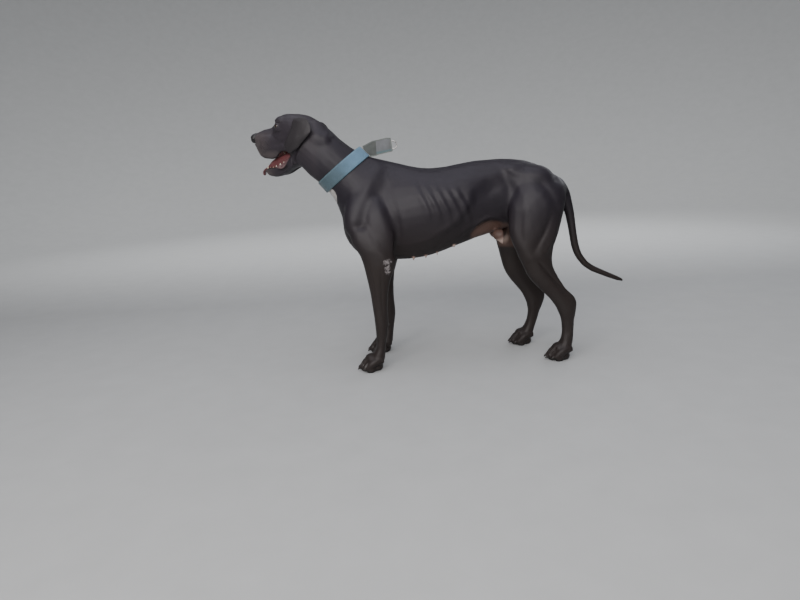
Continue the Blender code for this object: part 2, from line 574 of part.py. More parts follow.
# Bone and muscle lines on the flanks, in side view, pressed into or raised from the skin
SHOULDER_LINES = [
    ([(-0.052, 0.752), (-0.085, 0.690), (-0.120, 0.625)], 0.018, 0.0026),
    ([(-0.010, 0.700), (-0.035, 0.650), (-0.060, 0.612)], 0.018, -0.0022),
    ([(-0.055, 0.655), (-0.018, 0.590), (0.008, 0.520), (0.006, 0.460)], 0.014, -0.0050),
    ([(-0.120, 0.540), (-0.110, 0.500), (-0.100, 0.455)], 0.012, -0.0025),
]
RIB_LINES = [([(0.062 + 0.036 * i, 0.690 - 0.006 * i), (0.090 + 0.036 * i, 0.640 - 0.006 * i),
               (0.112 + 0.036 * i, 0.590 - 0.004 * i), (0.116 + 0.036 * i, 0.545)], 0.0100, 0.0030 - 0.0002 * i)
             for i in range(5)]
LOIN_LINES = [
    ([(0.060, 0.470), (0.140, 0.500), (0.210, 0.545), (0.262, 0.600), (0.270, 0.650)], 0.022, 0.0040),
    ([(0.290, 0.600), (0.330, 0.640), (0.380, 0.660), (0.425, 0.640)], 0.030, -0.0080),
    ([(0.384, 0.715), (0.412, 0.670), (0.428, 0.615)], 0.018, -0.0045),
    ([(0.150, 0.700), (0.230, 0.712), (0.310, 0.716), (0.390, 0.715)], 0.016, -0.0030),
    ([(0.206, 0.466), (0.260, 0.508), (0.310, 0.535), (0.352, 0.545), (0.392, 0.530), (0.418, 0.498)], 0.010, 0.0035),
    ([(0.250, 0.478), (0.310, 0.505), (0.360, 0.515), (0.395, 0.495)], 0.018, -0.0080),
]
THIGH_LINES = [
    ([(0.500, 0.680), (0.540, 0.640), (0.566, 0.590), (0.578, 0.540)], 0.018, -0.0032),
    ([(0.560, 0.560), (0.535, 0.500), (0.505, 0.450), (0.485, 0.415)], 0.013, -0.0050),
    ([(0.580, 0.520), (0.560, 0.460), (0.530, 0.420), (0.505, 0.395)], 0.012, 0.0035),
    ([(0.500, 0.400), (0.540, 0.350), (0.580, 0.300), (0.622, 0.250)], 0.008, -0.0040),
    ([(0.455, 0.440), (0.470, 0.405), (0.490, 0.380)], 0.012, 0.0030),
    ([(0.445, 0.560), (0.440, 0.500), (0.450, 0.450)], 0.014, -0.0025),
]
for side in (-1, 1):
    flank_strokes(flesh, side, SHOULDER_LINES + RIB_LINES + LOIN_LINES)
flank_strokes(flesh, -1, THIGH_LINES)
flank_strokes(flesh, 1, [([(x - 0.036 * min(max((0.60 - z) / 0.18, 0), 1.7), z) for x, z in line], w, h)
                         for line, w, h in THIGH_LINES])


def press_head(made, side, rows):
    """Lines on one side of the head, drawn in its own side view (forward, up)."""
    for line, width, height in rows:
        points, normals = points_of(made), normals_of(made)
        local = head_frame(points)
        c, n = math.cos(HEAD_TURN), math.sin(HEAD_TURN)
        facing = (-normals[:, 0] * n - normals[:, 1] * c) * side
        mask = np.clip(facing * 2 + 0.3, 0, 1) * (local[:, 1] * side > 0.004) * (local[:, 0] > -0.05)
        mask *= np.abs(local[:, 1]) < 0.064
        set_points(made, stroke(points, normals, local[:, [0, 2]], mask, line, width, height))


FACE_LINES = [
    ([(0.135, 0.926), (0.150, 0.928), (0.165, 0.922)], 0.0055, 0.0030),
    ([(0.138, 0.904), (0.152, 0.900), (0.168, 0.904)], 0.0045, 0.0024),
    ([(0.140, 0.892), (0.155, 0.886), (0.172, 0.888)], 0.0050, -0.0020),
    ([(0.172, 0.905), (0.182, 0.890), (0.200, 0.872)], 0.0080, -0.0022),
    ([(0.120, 0.862), (0.150, 0.852), (0.185, 0.842)], 0.0070, -0.0016),
]
for side in (1, -1):
    press_head(flesh, side, FACE_LINES)

# Stand her on small flats: everything under the soles comes up to the floor
points = points_of(flesh)
points[:, 2] = np.where(points[:, 2] < 0.004, np.maximum((points[:, 2] - 0.004) * 0.8 + 0.0032, 0.0), points[:, 2])
set_points(flesh, points)


def thin_out(made, chosen, wanted):
    """Fewer triangles in the chosen region, fewest where it is flat."""
    bpy.context.view_layer.objects.active = made
    for turn in range(4):
        centres = np.empty(len(made.data.polygons) * 3)
        made.data.polygons.foreach_get("center", centres)
        mask = chosen(centres.reshape(-1, 3))
        corners = np.empty(len(made.data.polygons), np.int32)
        made.data.polygons.foreach_get("loop_total", corners)
        count = int((corners[mask] - 2).sum())
        if count < wanted * 1.05:
            return
        bpy.ops.object.mode_set(mode="EDIT")
        bpy.ops.mesh.select_mode(type="FACE")
        bpy.ops.mesh.select_all(action="DESELECT")
        bpy.ops.object.mode_set(mode="OBJECT")
        made.data.polygons.foreach_set("select", mask)
        bpy.ops.object.mode_set(mode="EDIT")
        bpy.ops.mesh.decimate(ratio=wanted / count)
        bpy.ops.object.mode_set(mode="OBJECT")


def in_head(points):
    local = head_frame(points)
    return (local[:, 0] > -0.03) & (points[:, 2] > 0.70)


def largest(made):
    """Keep the largest closed surface and drop any crumb that a cut left."""
    mesh = bmesh.new()
    mesh.from_mesh(made.data)
    mesh.verts.ensure_lookup_table()
    seen = [False] * len(mesh.verts)
    shells = []
    for start in mesh.verts:
        if seen[start.index]:
            continue
        seen[start.index] = True
        shell, queue = [], [start]
        while queue:
            vert = queue.pop()
            shell.append(vert)
            for edge in vert.link_edges:
                other = edge.other_vert(vert)
                if not seen[other.index]:
                    seen[other.index] = True
                    queue.append(other)
        shells.append(shell)
    shells.sort(key=len)
    crumbs = [vert for shell in shells[:-1] for vert in shell]
    bmesh.ops.delete(mesh, geom=crumbs, context="VERTS")
    bmesh.ops.triangulate(mesh, faces=mesh.faces)
    mesh.to_mesh(made.data)
    mesh.free()
    return made


def boolean(made, cutter, operation, keep_cutter=False):
    change = made.modifiers.new("Cut", "BOOLEAN")
    change.operation = operation
    change.object = cutter
    bpy.ops.object.select_all(action="DESELECT")
    bpy.context.view_layer.objects.active = made
    bpy.ops.object.modifier_apply(modifier=change.name)
    if not keep_cutter:
        bpy.data.objects.remove(cutter, do_unlink=True)
    return largest(made)


def copy_of(made, name):
    made = made.copy()
    made.data = made.data.copy()
    made.name = name
    bpy.context.scene.collection.objects.link(made)
    return made


def prism(outline, low, high, place, grow):
    """A block from its outline in side view, every face moved out by grow."""
    flat = np.array(outline, float)
    if np.sum(flat[:, 0] * np.roll(flat[:, 1], -1) - np.roll(flat[:, 0], -1) * flat[:, 1]) < 0:
        flat = flat[::-1]
    edges = np.roll(flat, -1, axis=0) - flat
    normals = np.stack([edges[:, 1], -edges[:, 0]], axis=1) / np.linalg.norm(edges, axis=1)[:, None]
    moved = []
    for i in range(len(flat)):
        a, b = normals[i - 1], normals[i]
        moved.append(flat[i] + grow * (a + b) / (1 + a @ b))
    loops = [[place(u, side, v) for u, v in moved] for side in (low - grow, high + grow)]
    return skin_loops("Cutter", np.array(loops))


def in_world(u, side, v):
    return np.array([u, side, v])


def beside_left(s, side, z):
    """The head's frame, leaning outwards below the ear's root as the ears do."""
    return head_at(s, side + 0.095 * (0.930 - z), z)


def beside_right(s, side, z):
    return head_at(s, side - 0.095 * (0.930 - z), z)


def take(made, name, outline, low, high, place=in_world):
    """Cut the block's part out of a body as a new one, with the gap between the two."""
    piece = boolean(copy_of(made, name), prism(outline, low, high, place, -CUT / 2), "INTERSECT")
    piece.data.name = name
    boolean(made, prism(outline, low, high, place, CUT / 2), "DIFFERENCE")
    return piece


def both(side, low, high):
    return (low, high) if side > 0 else (-high, -low)


thin_out(flesh, lambda p: ~in_head(p) & (p[:, 2] > 0.085), BODY_FACES)
thin_out(flesh, in_head, HEAD_FACES)
thin_out(flesh, lambda p: p[:, 2] <= 0.085, FOOT_FACES)

# Small flats under the pads, all at one level
boolean(flesh, prism([(-0.6, -0.1), (1.0, -0.1), (1.0, 0.0009), (-0.6, 0.0009)], -0.4, 0.4, in_world, 0.0), "DIFFERENCE")

# Cut the body into its parts, from the ends towards the trunk
parts = {}
EAR_BLOCK = [(-0.020, 0.790), (0.150, 0.790), (0.150, 0.970), (-0.020, 0.970)]
FAR_EAR_BLOCK = [(-0.006, 0.780), (0.150, 0.780), (0.150, 0.970), (-0.006, 0.970)]
parts["left_ear"] = take(flesh, "left_ear", EAR_BLOCK, 0.0628, 0.120, beside_left)
parts["right_ear"] = take(flesh, "right_ear", FAR_EAR_BLOCK, -0.120, -0.0628, beside_right)
head_piece = take(flesh, "head", [(-0.012, 0.915), (0.055, 0.757), (0.090, 0.675), (0.40, 0.675), (0.40, 1.05),
                                  (-0.069, 1.05)], -0.14, 0.14, head_at)
parts["head"] = head_piece
parts["lower_jaw"] = take(head_piece, "lower_jaw", [(0.116, 0.8070), (0.064, 0.7500), (0.075, 0.7350),
                                                    (0.32, 0.690), (0.32, 0.7600)], -0.09, 0.09, head_at)
parts["nose"] = take(head_piece, "nose", [(0.266, 0.8590), (0.330, 0.8540), (0.330, 0.92), (0.266, 0.92)],
                     -0.05, 0.05, head_at)
parts["neck"] = take(flesh, "neck", [(-0.050, 0.8013), (-0.230, 0.5973), (-0.60, 0.5973), (-0.60, 1.05),
                                     (-0.050, 1.05)], -0.14, 0.14)
parts["tail_root"] = take(flesh, "tail_root", [(0.6200, 0.632), (0.700, 0.680), (0.950, 0.680), (0.950, 0.20),
                                               (0.6200, 0.20)], -0.0245, 0.0245)
tail_end = parts["tail_root"]
parts["tail_tip"] = take(tail_end, "tail_tip", [(0.700, 0.290), (0.780, 0.395), (0.98, 0.395), (0.98, 0.20),
                                                (0.700, 0.20)], -0.05, 0.05)
parts["tail_middle"] = take(tail_end, "tail_middle", [(0.60, 0.490), (0.80, 0.520), (0.80, 0.25), (0.60, 0.25)],
                            -0.05, 0.05)
for side, name, back in ((-1, "left", 0.0), (1, "right", 0.014)):
    outer = both(side, 0.030, 0.20)
    parts[name + "_front_paw"] = take(flesh, name + "_front_paw", [(-0.25, -0.05), (0.12, -0.05), (0.12, 0.160),
                                                                  (-0.25, 0.166)], *outer)
    parts[name + "_hind_paw"] = take(flesh, name + "_hind_paw", [(0.40, -0.05), (0.74, -0.05), (0.74, 0.146),
                                                                (0.40, 0.146)], *outer)
    parts[name + "_forearm"] = take(flesh, name + "_forearm", [(-0.25, 0.10), (0.004 + back, 0.10),
                                                              (0.004 + back, 0.440), (-0.25, 0.470)],
                                    *both(side, 0.0680, 0.20))
    parts[name + "_shoulder"] = take(flesh, name + "_shoulder", [(-0.27, 0.40), (0.020 + back, 0.40),
                                                                (0.020 + back, 0.78), (-0.27, 0.78)],
                                     *both(side, 0.0680, 0.20))
    low = 0.0 if side < 0 else -0.030
    parts[name + "_gaskin"] = take(flesh, name + "_gaskin", [(0.34, 0.412), (0.66, 0.352), (0.72, 0.352),
                                                            (0.72, 0.10), (0.34, 0.10)], *outer)
    parts[name + "_thigh"] = take(flesh, name + "_thigh", [(0.396 + low / 3, 0.25), (0.72, 0.25), (0.72, 0.600),
                                                          (0.396 + low / 3, 0.640)], *both(side, 0.0200, 0.20))
parts["chest"] = take(flesh, "chest", [(-0.30, 0.30), (0.240, 0.30), (0.240, 0.90), (-0.30, 0.90)], -0.2, 0.2)
parts["abdomen"] = take(flesh, "abdomen", [(0.20, 0.30), (0.410, 0.30), (0.410, 0.90), (0.20, 0.90)], -0.2, 0.2)
flesh.name = "hindquarters"
parts["hindquarters"] = flesh

# Eyes in their sockets, the opening between the lids, and the nostrils
for side, name in ((1, "left"), (-1, "right")):
    centre = head_at(EYE[0], EYE[1] * side, EYE[2])
    socket = lump("Socket", centre, [EYE_RADIUS + CUT * 1.5] * 3, segments=20, rings=12)
    slit = lump("Slit", (0.0, 0.0, 0.0), (0.0120, 0.0200, 0.0066), segments=16, rings=8)
    turn = -HEAD_TURN - side * math.radians(28.0)
    spread = points_of(slit)
    c, n = math.cos(turn), math.sin(turn)
    spread = spread @ np.array([[c, -n, 0], [n, c, 0], [0, 0, 1]]).T
    outward = head_at(0.47, 0.88 * side, 0) - head_at(0, 0, 0)
    spread += centre + outward * 0.0185 + np.array([0, 0, -0.0006])
    set_points(slit, spread)
    boolean(socket, slit, "UNION")
    boolean(parts["head"], socket, "DIFFERENCE")
    ball = lump(name + "_eye", centre, [EYE_RADIUS] * 3, segments=20, rings=12)
    parts[name + "_eye"] = ball
    nostril = tube("Nostril", [
        (*head_at(0.300, 0.0105 * side, 0.8790), 0.0042, 0.0048),
        (*head_at(0.290, 0.0110 * side, 0.8800), 0.0040, 0.0046),
        (*head_at(0.283, 0.0125 * side, 0.8810), 0.0026, 0.0030),
    ], 1, 1, around=12)
    boolean(parts["nose"], nostril, "DIFFERENCE")

# The tongue lies in the lower jaw, which is hollowed to take it
TONGUE = [
    # forward, up, half width, half depth
    (0.1180, 0.8050, 0.0150, 0.0080),
    (0.1300, 0.8045, 0.0200, 0.0140),
    (0.1480, 0.7980, 0.0215, 0.0190),
    (0.1700, 0.7910, 0.0205, 0.0205),
    (0.1900, 0.7845, 0.0180, 0.0205),
    (0.2060, 0.7790, 0.0157, 0.0175),
    (0.2180, 0.7740, 0.0138, 0.0135),
    (0.2300, 0.7685, 0.0118, 0.0085),
    (0.2410, 0.7645, 0.0102, 0.0055),
    (0.2510, 0.7608, 0.0100, 0.0043),
    (0.2590, 0.7520, 0.0085, 0.0036),
    (0.2605, 0.7465, 0.0042, 0.0022),
]


def tongue(name, grow):
    rows = [(*head_at(s, 0, z), half + grow, deep + grow) for s, z, half, deep in TONGUE]
    rows[0] = (*head_at(TONGUE[0][0] - grow, 0, TONGUE[0][1]), *rows[0][3:])
    rows[-1] = (*head_at(TONGUE[-1][0] + grow, 0, TONGUE[-1][1] - grow), *rows[-1][3:])
    return tube(name, rows, 1, 2, HEAD_SIDE, 14)


def tooth(s, side, root, tip, long, wide, lean=0.0):
    """One tooth from its root height to its tip height."""
    rows = []
    for share, size in ((0.0, 1.0), (0.6, 0.80), (1.0, 0.22)):
        rows.append(oval(head_at(s + lean * share**2, side, root + (tip - root) * share), HEAD_SIDE,
                         head_at(1, 0, 0) - head_at(0, 0, 0), wide * size, wide * size, long * size, around=7))
    return skin_loops("Tooth", np.array(rows))


def add_teeth(made, rows):
    for row in rows:
        for side in (1, -1):
            s, out, *rest = row
            boolean(made, tooth(s, out * side, *rest), "UNION")


# forward, out, root, tip, half length, half width
UPPER_TEETH = [(0.2430, 0.0170, 0.8330, 0.8110, 0.0042, 0.0034), (0.2600, 0.0062, 0.8440, 0.8300, 0.0034, 0.0040),
               (0.2150, 0.0205, 0.8320, 0.8185, 0.0052, 0.0028), (0.1960, 0.0215, 0.8320, 0.8160, 0.0066, 0.0030),
               (0.1740, 0.0225, 0.8320, 0.8140, 0.0095, 0.0038)]
LOWER_TEETH = [(0.2330, 0.0138, 0.7560, 0.7800, 0.0040, 0.0032), (0.2165, 0.0192, 0.7600, 0.7725, 0.0042, 0.0024),
               (0.2030, 0.0212, 0.7600, 0.7740, 0.0054, 0.0026), (0.1870, 0.0235, 0.7600, 0.7785, 0.0066, 0.0028),
               (0.1670, 0.0265, 0.7610, 0.7840, 0.0092, 0.0036), (0.1480, 0.0300, 0.7650, 0.7900, 0.0062, 0.0034)]
add_teeth(parts["head"], UPPER_TEETH)
add_teeth(parts["lower_jaw"], LOWER_TEETH)
parts["tongue"] = tongue("tongue", 0.0)
boolean(parts["lower_jaw"], tongue("Bed", CUT), "DIFFERENCE")
boolean(parts["head"], tongue("Bed", CUT), "DIFFERENCE")

# The collar: a flat webbing strap round the neck, with a tab and its ring at the crest
top, low = np.array([COLLAR_TOP[0], 0, COLLAR_TOP[1]]), np.array([COLLAR_FOOT[0], 0, COLLAR_FOOT[1]])
middle = (top + low) / 2
across_strap = (top - low) / np.linalg.norm(top - low)
along_neck = np.array([-across_strap[2], 0, across_strap[0]])
tree = BVHTree.FromObject(parts["neck"], bpy.context.evaluated_depsgraph_get())


def strap(name, turns, half_width, thick, clear):
    """A band round the neck that follows it, over the given angles from the crest."""
    loops = []
    for turn in turns:
        out = across_strap * math.cos(turn) + np.array([0, -math.sin(turn), 0])
        radii = []
        for shift in np.linspace(-1, 1, 5) * half_width:
            origin = middle + along_neck * shift
            hit = tree.ray_cast(Vector(origin + out * 0.30), Vector(-out))
            radii.append((Vector(origin) - hit[0]).length + clear)
        inner = np.interp([-1, 1], [-1, 1], [max(radii[0], radii[1]), max(radii[3], radii[4])])
        inner = np.maximum(inner, (max(radii) * 2 + inner) / 3)
        at = []
        for share, reach in ((-1, inner[0]), (1, inner[1]), (1, inner[1] + thick), (-1, inner[0] + thick)):
            at.append(middle + along_neck * half_width * share + out * reach)
        loops.append(at)
    return np.array(loops)


def ring_of(name, loops):
    """A closed ring over its cross sections."""
    count, around = loops.shape[:2]
    faces = []
    for i in range(count):
        for j in range(around):
            a, b, k = i * around, ((i + 1) % count) * around, (j + 1) % around
            faces.append((a + j, a + k, b + k, b + j))
    made = mesh_object(name, loops.reshape(-1, 3), faces)
    mesh = bmesh.new()
    mesh.from_mesh(made.data)
    bmesh.ops.recalc_face_normals(mesh, faces=mesh.faces)
    mesh.to_mesh(made.data)
    mesh.free()
    return made


turns = np.arange(56) * 2 * math.pi / 56
parts["collar"] = ring_of("collar", strap("collar", turns, COLLAR_WIDTH / 2, COLLAR_THICKNESS, 0.0017))

TAB_OUTLINE = [(-0.1030, 0.8260), (-0.1010, 0.7960), (-0.0870, 0.7850), (-0.0560, 0.7880), (-0.0510, 0.7910),
               (0.0060, 0.8010), (0.0010, 0.8490), (-0.0160, 0.8500), (-0.0690, 0.8410)]
parts["collar_tab"] = prism(TAB_OUTLINE, -0.0050, 0.0050, in_world, 0.0)
parts["collar_tab"].name = "collar_tab"
for other in ("collar", "neck", "chest"):
    grown = copy_of(parts[other], "Grown")
    set_points(grown, points_of(grown) + normals_of(grown) * CUT * 2)
    boolean(parts["collar_tab"], grown, "DIFFERENCE")
bpy.ops.mesh.primitive_torus_add(major_radius=0.0140, minor_radius=0.0022, major_segments=28, minor_segments=10,
                                 location=(0.0075, 0, 0.8240), rotation=(math.pi / 2, 0, 0))
ring = bpy.context.active_object
ring.name = "collar_ring"
bpy.ops.object.transform_apply(location=True, rotation=True, scale=True)
parts["collar_ring"] = ring
bpy.ops.mesh.primitive_torus_add(major_radius=0.0140, minor_radius=0.0022 + CUT, major_segments=28,
                                 minor_segments=10, location=(0.0075, 0, 0.8240), rotation=(math.pi / 2, 0, 0))
bpy.ops.object.transform_apply(location=True, rotation=True, scale=True)
boolean(parts["collar_tab"], bpy.context.active_object, "DIFFERENCE")

# Colours
COLOURS = {
    "coat": ((0.020, 0.018, 0.022), 0.55), "eye": ((0.030, 0.014, 0.006), 0.12),
    "nose": ((0.012, 0.011, 0.012), 0.35), "tongue": ((0.50, 0.16, 0.17), 0.35),
    "webbing": ((0.10, 0.42, 0.52), 0.75), "tab": ((0.35, 0.42, 0.38), 0.70), "metal": ((0.60, 0.60, 0.58), 0.30),
}
WHAT = {"left_eye": "eye", "right_eye": "eye", "nose": "nose", "tongue": "tongue", "collar": "webbing",
        "collar_tab": "tab", "collar_ring": "metal"}
for name, piece in parts.items():
    colour, roughness = COLOURS[WHAT.get(name, "coat")]
    piece.name = name
    piece.data.name = name
    piece.data.materials.clear()
    piece.data.materials.append(material(name, colour, roughness, 1.0 if name == "collar_ring" else 0.0))

# The origin: on the floor, under the middle of the whole box
lows = np.min([points_of(piece).min(axis=0) for piece in parts.values()], axis=0)
highs = np.max([points_of(piece).max(axis=0) for piece in parts.values()], axis=0)
shift = np.array([-(lows[0] + highs[0]) / 2, -(lows[1] + highs[1]) / 2, -lows[2]])
for piece in parts.values():
    set_points(piece, points_of(piece) + shift)
print("parts", len(parts), "shift", np.round(shift, 5).tolist(), "size", np.round(highs - lows, 4).tolist())
for name, piece in parts.items():
    print(name, len(piece.data.polygons))
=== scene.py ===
# %% [markdown]
# A great dane, standing still, at life size
#
# A lean black bitch stands with her left side towards us. Her head is turned a little away, her
# mouth is open, and she wears a broad webbing collar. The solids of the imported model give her
# shape. Over them this lesson lays one skin, and then what makes her look alive: wet eyes between
# their lids, nose leather, gums and teeth, claws, a short glossy coat and the woven collar.

import math

import bpy
import numpy as np
from mathutils import Matrix, Vector
from mathutils.bvhtree import BVHTree


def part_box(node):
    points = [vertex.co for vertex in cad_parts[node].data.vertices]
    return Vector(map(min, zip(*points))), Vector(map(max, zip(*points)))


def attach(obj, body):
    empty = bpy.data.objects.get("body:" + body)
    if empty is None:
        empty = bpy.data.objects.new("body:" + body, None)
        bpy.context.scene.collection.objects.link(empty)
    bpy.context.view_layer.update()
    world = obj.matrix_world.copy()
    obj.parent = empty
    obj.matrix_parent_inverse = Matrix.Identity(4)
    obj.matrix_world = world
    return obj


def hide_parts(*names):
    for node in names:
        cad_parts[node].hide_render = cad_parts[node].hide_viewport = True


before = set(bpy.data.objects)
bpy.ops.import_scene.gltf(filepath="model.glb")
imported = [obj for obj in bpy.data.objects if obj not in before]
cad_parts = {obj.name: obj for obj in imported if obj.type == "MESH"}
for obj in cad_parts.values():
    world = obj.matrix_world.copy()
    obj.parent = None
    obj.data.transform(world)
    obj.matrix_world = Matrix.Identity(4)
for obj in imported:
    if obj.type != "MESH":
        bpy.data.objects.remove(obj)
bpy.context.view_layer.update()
print("nodes:", len(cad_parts))

# %% [markdown]
# Two frames of measure
#
# All places on the body are given in metres from a point on the floor under the middle of the
# picture, with x towards the tail, y to her right and z up. The ring of her collar tells how far
# that point lies from the model's own origin. Places on the head are given in its own frame,
# because it is turned: forward from the back of the skull, towards her left, and up.

# %% Places on the body and on the head
HEAD_TURN = math.radians(22.0)
HEAD_PIVOT = np.array([-0.25, 0.0])
RING_PLACE = (0.0075, 0.0, 0.8240)
low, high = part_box("collar_ring")
SHIFT = np.array((low + high) / 2) - RING_PLACE
COS, SIN = math.cos(HEAD_TURN), math.sin(HEAD_TURN)


def body_at(x, y, z):
    return np.array([x, y, z]) + SHIFT


def head_at(s, side, z):
    return body_at(HEAD_PIVOT[0] - s * COS - side * SIN, HEAD_PIVOT[1] + s * SIN - side * COS, z)


def in_body(points):
    return points - SHIFT


def in_head(points):
    p = points - SHIFT
    x, y = p[:, 0] - HEAD_PIVOT[0], p[:, 1] - HEAD_PIVOT[1]
    return np.stack([-x * COS + y * SIN, -x * SIN - y * COS, p[:, 2]], axis=1)


FORWARD = np.array([-COS, SIN, 0.0])
LEFT = np.array([-SIN, -COS, 0.0])
UP = np.array([0.0, 0.0, 1.0])
print("shift", SHIFT.round(4))

# %% [markdown]
# The camera, the floor and the light
#
# The picture was taken at the height of her back, from a little over two metres, with a wide lens
# that looks down and is held slightly askew. A pale floor and four large soft lamps take the place
# of the surroundings: one overhead gives the back its cool sheen, one stands in front like a window,
# one behind draws the far edge, and one lights the floor where it rises in the distance.

# %% Camera
FOCAL_PIXELS, PICTURE_PIXELS, SENSOR = 578.0, 800.0, 36.0
CAMERA_PLACE = (0, -2.179, 0.784)
PITCH, ROLL = math.radians(14.0), math.radians(3.4)
camera_data = bpy.data.cameras.new("camera")
camera_data.sensor_width = SENSOR
camera_data.lens = FOCAL_PIXELS / PICTURE_PIXELS * SENSOR
camera = bpy.data.objects.new("camera", camera_data)
bpy.context.scene.collection.objects.link(camera)
ahead = Vector((0, math.cos(PITCH), -math.sin(PITCH)))
above = Vector((0, math.sin(PITCH), math.cos(PITCH)))
beside = Vector((1, 0, 0))
right = math.cos(ROLL) * beside - math.sin(ROLL) * above
upward = math.sin(ROLL) * beside + math.cos(ROLL) * above
turn = Matrix((right, upward, -ahead)).transposed().to_4x4()
camera.matrix_world = Matrix.Translation(Vector(body_at(*CAMERA_PLACE))) @ turn
bpy.context.scene.camera = camera
print("camera at", np.round(camera.location, 3))


# %% Floor and lamps
def deselect():
    if bpy.context.mode != "OBJECT":
        bpy.ops.object.mode_set(mode="OBJECT")
    bpy.ops.object.select_all(action="DESELECT")


def added(name, primitive, **settings):
    """A new primitive under its own name."""
    deselect()
    primitive(**settings)
    made = bpy.context.active_object
    made.name = made.data.name = name
    return made


FLAT_RADIUS, WALL_CURVE = 5.5, 0.16
floor = added("floor", bpy.ops.mesh.primitive_grid_add, x_subdivisions=120, y_subdivisions=120, size=26)
for point in floor.data.vertices:
    away = math.hypot(point.co.x, point.co.y)
    point.co.z = WALL_CURVE * max(away - FLAT_RADIUS, 0.0) ** 2
floor.data.shade_smooth()


def lamp(name, place, target, size, power, colour):
    data = bpy.data.lights.new(name, "AREA")
    data.shape = "RECTANGLE"
    data.size, data.size_y = size
    data.energy = power
    data.color = colour
    made = bpy.data.objects.new(name, data)
    bpy.context.scene.collection.objects.link(made)
    made.location = place
    made.rotation_euler = (Vector(target) - Vector(place)).to_track_quat("-Z", "Y").to_euler()


lamp("overhead", (-0.3, -0.5, 3.0), (0.0, 0.0, 0.6), (3.8, 2.4), 44, (0.90, 0.91, 1.0))
lamp("window", (-0.9, -3.1, 1.9), (-0.1, 0.0, 0.6), (3.6, 2.2), 116, (1.0, 0.96, 0.95))
lamp("rim", (2.6, 2.4, 2.2), (0.1, 0.0, 0.6), (2.6, 2.0), 28, (0.92, 0.94, 1.0))
lamp("backdrop", (0.0, 2.2, 3.0), (0.0, 8.0, 0.8), (8.0, 1.6), 260, (0.97, 0.97, 1.0))
world = bpy.data.worlds.new("studio")
world.use_nodes = True
sky = world.node_tree.nodes["Background"].inputs
sky["Color"].default_value = (0.93, 0.93, 1.0, 1.0)
sky["Strength"].default_value = 0.40
bpy.context.scene.world = world
print("stage set")


# %% [markdown]
# Writing shader maths as expressions
#
# A finish is mostly arithmetic on a few patterns. One small class wraps a socket, so that
# `noise * 0.4 + mask` adds the Math nodes by itself.

# %% A small language for shaders
class Wire:
    """A number, colour or vector socket inside one material."""

    def __init__(self, finish, socket):
        self.finish = finish
        self.socket = socket

    def _math(self, operation, *values):
        return self.finish.node("ShaderNodeMath", {"operation": operation}, dict(enumerate(values)))

    def __add__(self, other):
        return self._math("ADD", self, other)

    def __radd__(self, other):
        return self._math("ADD", other, self)

    def __sub__(self, other):
        return self._math("SUBTRACT", self, other)

    def __rsub__(self, other):
        return self._math("SUBTRACT", other, self)

    def __mul__(self, other):
        return self._math("MULTIPLY", self, other)

    def absolute(self):
        return self._math("ABSOLUTE", self)

    def wave(self):
        """A sine wave from 0 to 1."""
        return self._math("SINE", self) * 0.5 + 0.5

    def clipped(self, low=0.0, high=1.0):
        """0 below low, 1 above high, and a smooth ramp between."""
        settings = {"clamp": True, "interpolation_type": "SMOOTHSTEP"}
        inputs = {"From Min": low, "From Max": high, "Value": self}
        return self.finish.node("ShaderNodeMapRange", settings, inputs)


class Finish:
    """A material that is built from expressions."""

    def __init__(self, name, **constants):
        self.made = bpy.data.materials.new(name)
        self.made.use_nodes = True
        self.tree = self.made.node_tree
        self.shader = self.tree.nodes["Principled BSDF"]
        for socket, value in constants.items():
            self.shader.inputs[socket.replace("_", " ")].default_value = value
        self.place = self.node("ShaderNodeTexCoord", {}, {}, "Object")

    def node(self, kind, settings, inputs, output=0):
        made = self.tree.nodes.new(kind)
        for name, value in settings.items():
            setattr(made, name, value)
        for name, value in inputs.items():
            socket = made.inputs[name]
            if isinstance(value, Wire):
                self.tree.links.new(value.socket, socket)
            elif isinstance(value, tuple) and len(value) == 3 and socket.type == "RGBA":
                socket.default_value = (*value, 1.0)
            else:
                socket.default_value = value
        return Wire(self, made.outputs[output])

    def attribute(self, name):
        return self.node("ShaderNodeAttribute", {"attribute_name": name}, {}, "Fac")

    def scaled(self, scale, turn=(0, 0, 0)):
        inputs = {"Vector": self.place, "Scale": scale, "Rotation": turn}
        return self.node("ShaderNodeMapping", {}, inputs)

    def cells(self, scale, feature="SMOOTH_F1"):
        inputs = {"Vector": self.place, "Scale": scale}
        return self.node("ShaderNodeTexVoronoi", {"feature": feature}, inputs)

    def bands(self, direction, scale, distortion=0.0):
        inputs = {"Vector": self.place, "Scale": scale, "Distortion": distortion}
        return self.node("ShaderNodeTexWave", {"bands_direction": direction}, inputs)

    def noise(self, scale, detail=3.0, rough=0.55, source=None):
        inputs = {"Scale": scale, "Detail": detail, "Roughness": rough, "Vector": source or self.place}
        return self.node("ShaderNodeTexNoise", {}, inputs)

    def mix(self, share, first, second):
        inputs = {0: share, 6: first, 7: second}
        return self.node("ShaderNodeMix", {"data_type": "RGBA"}, inputs, 2)

    def number(self, share, first, second):
        return self.node("ShaderNodeMix", {"data_type": "FLOAT"}, {0: share, 2: first, 3: second})

    def bump(self, height, strength, distance, under=None):
        inputs = {"Height": height, "Strength": strength, "Distance": distance}
        if under:
            inputs["Normal"] = under
        return self.node("ShaderNodeBump", {}, inputs)

    def feed(self, **wires):
        for name, wire in wires.items():
            self.tree.links.new(wire.socket, self.shader.inputs[name.replace("_", " ")])
        return self.made


def dress(piece, material, slot, *nodes):
    """Give a finished piece its material and its place in the model; its slot is not used."""
    piece.data.materials.clear()
    piece.data.materials.append(material)
    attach(piece, "root")
    if nodes:
        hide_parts(*nodes)


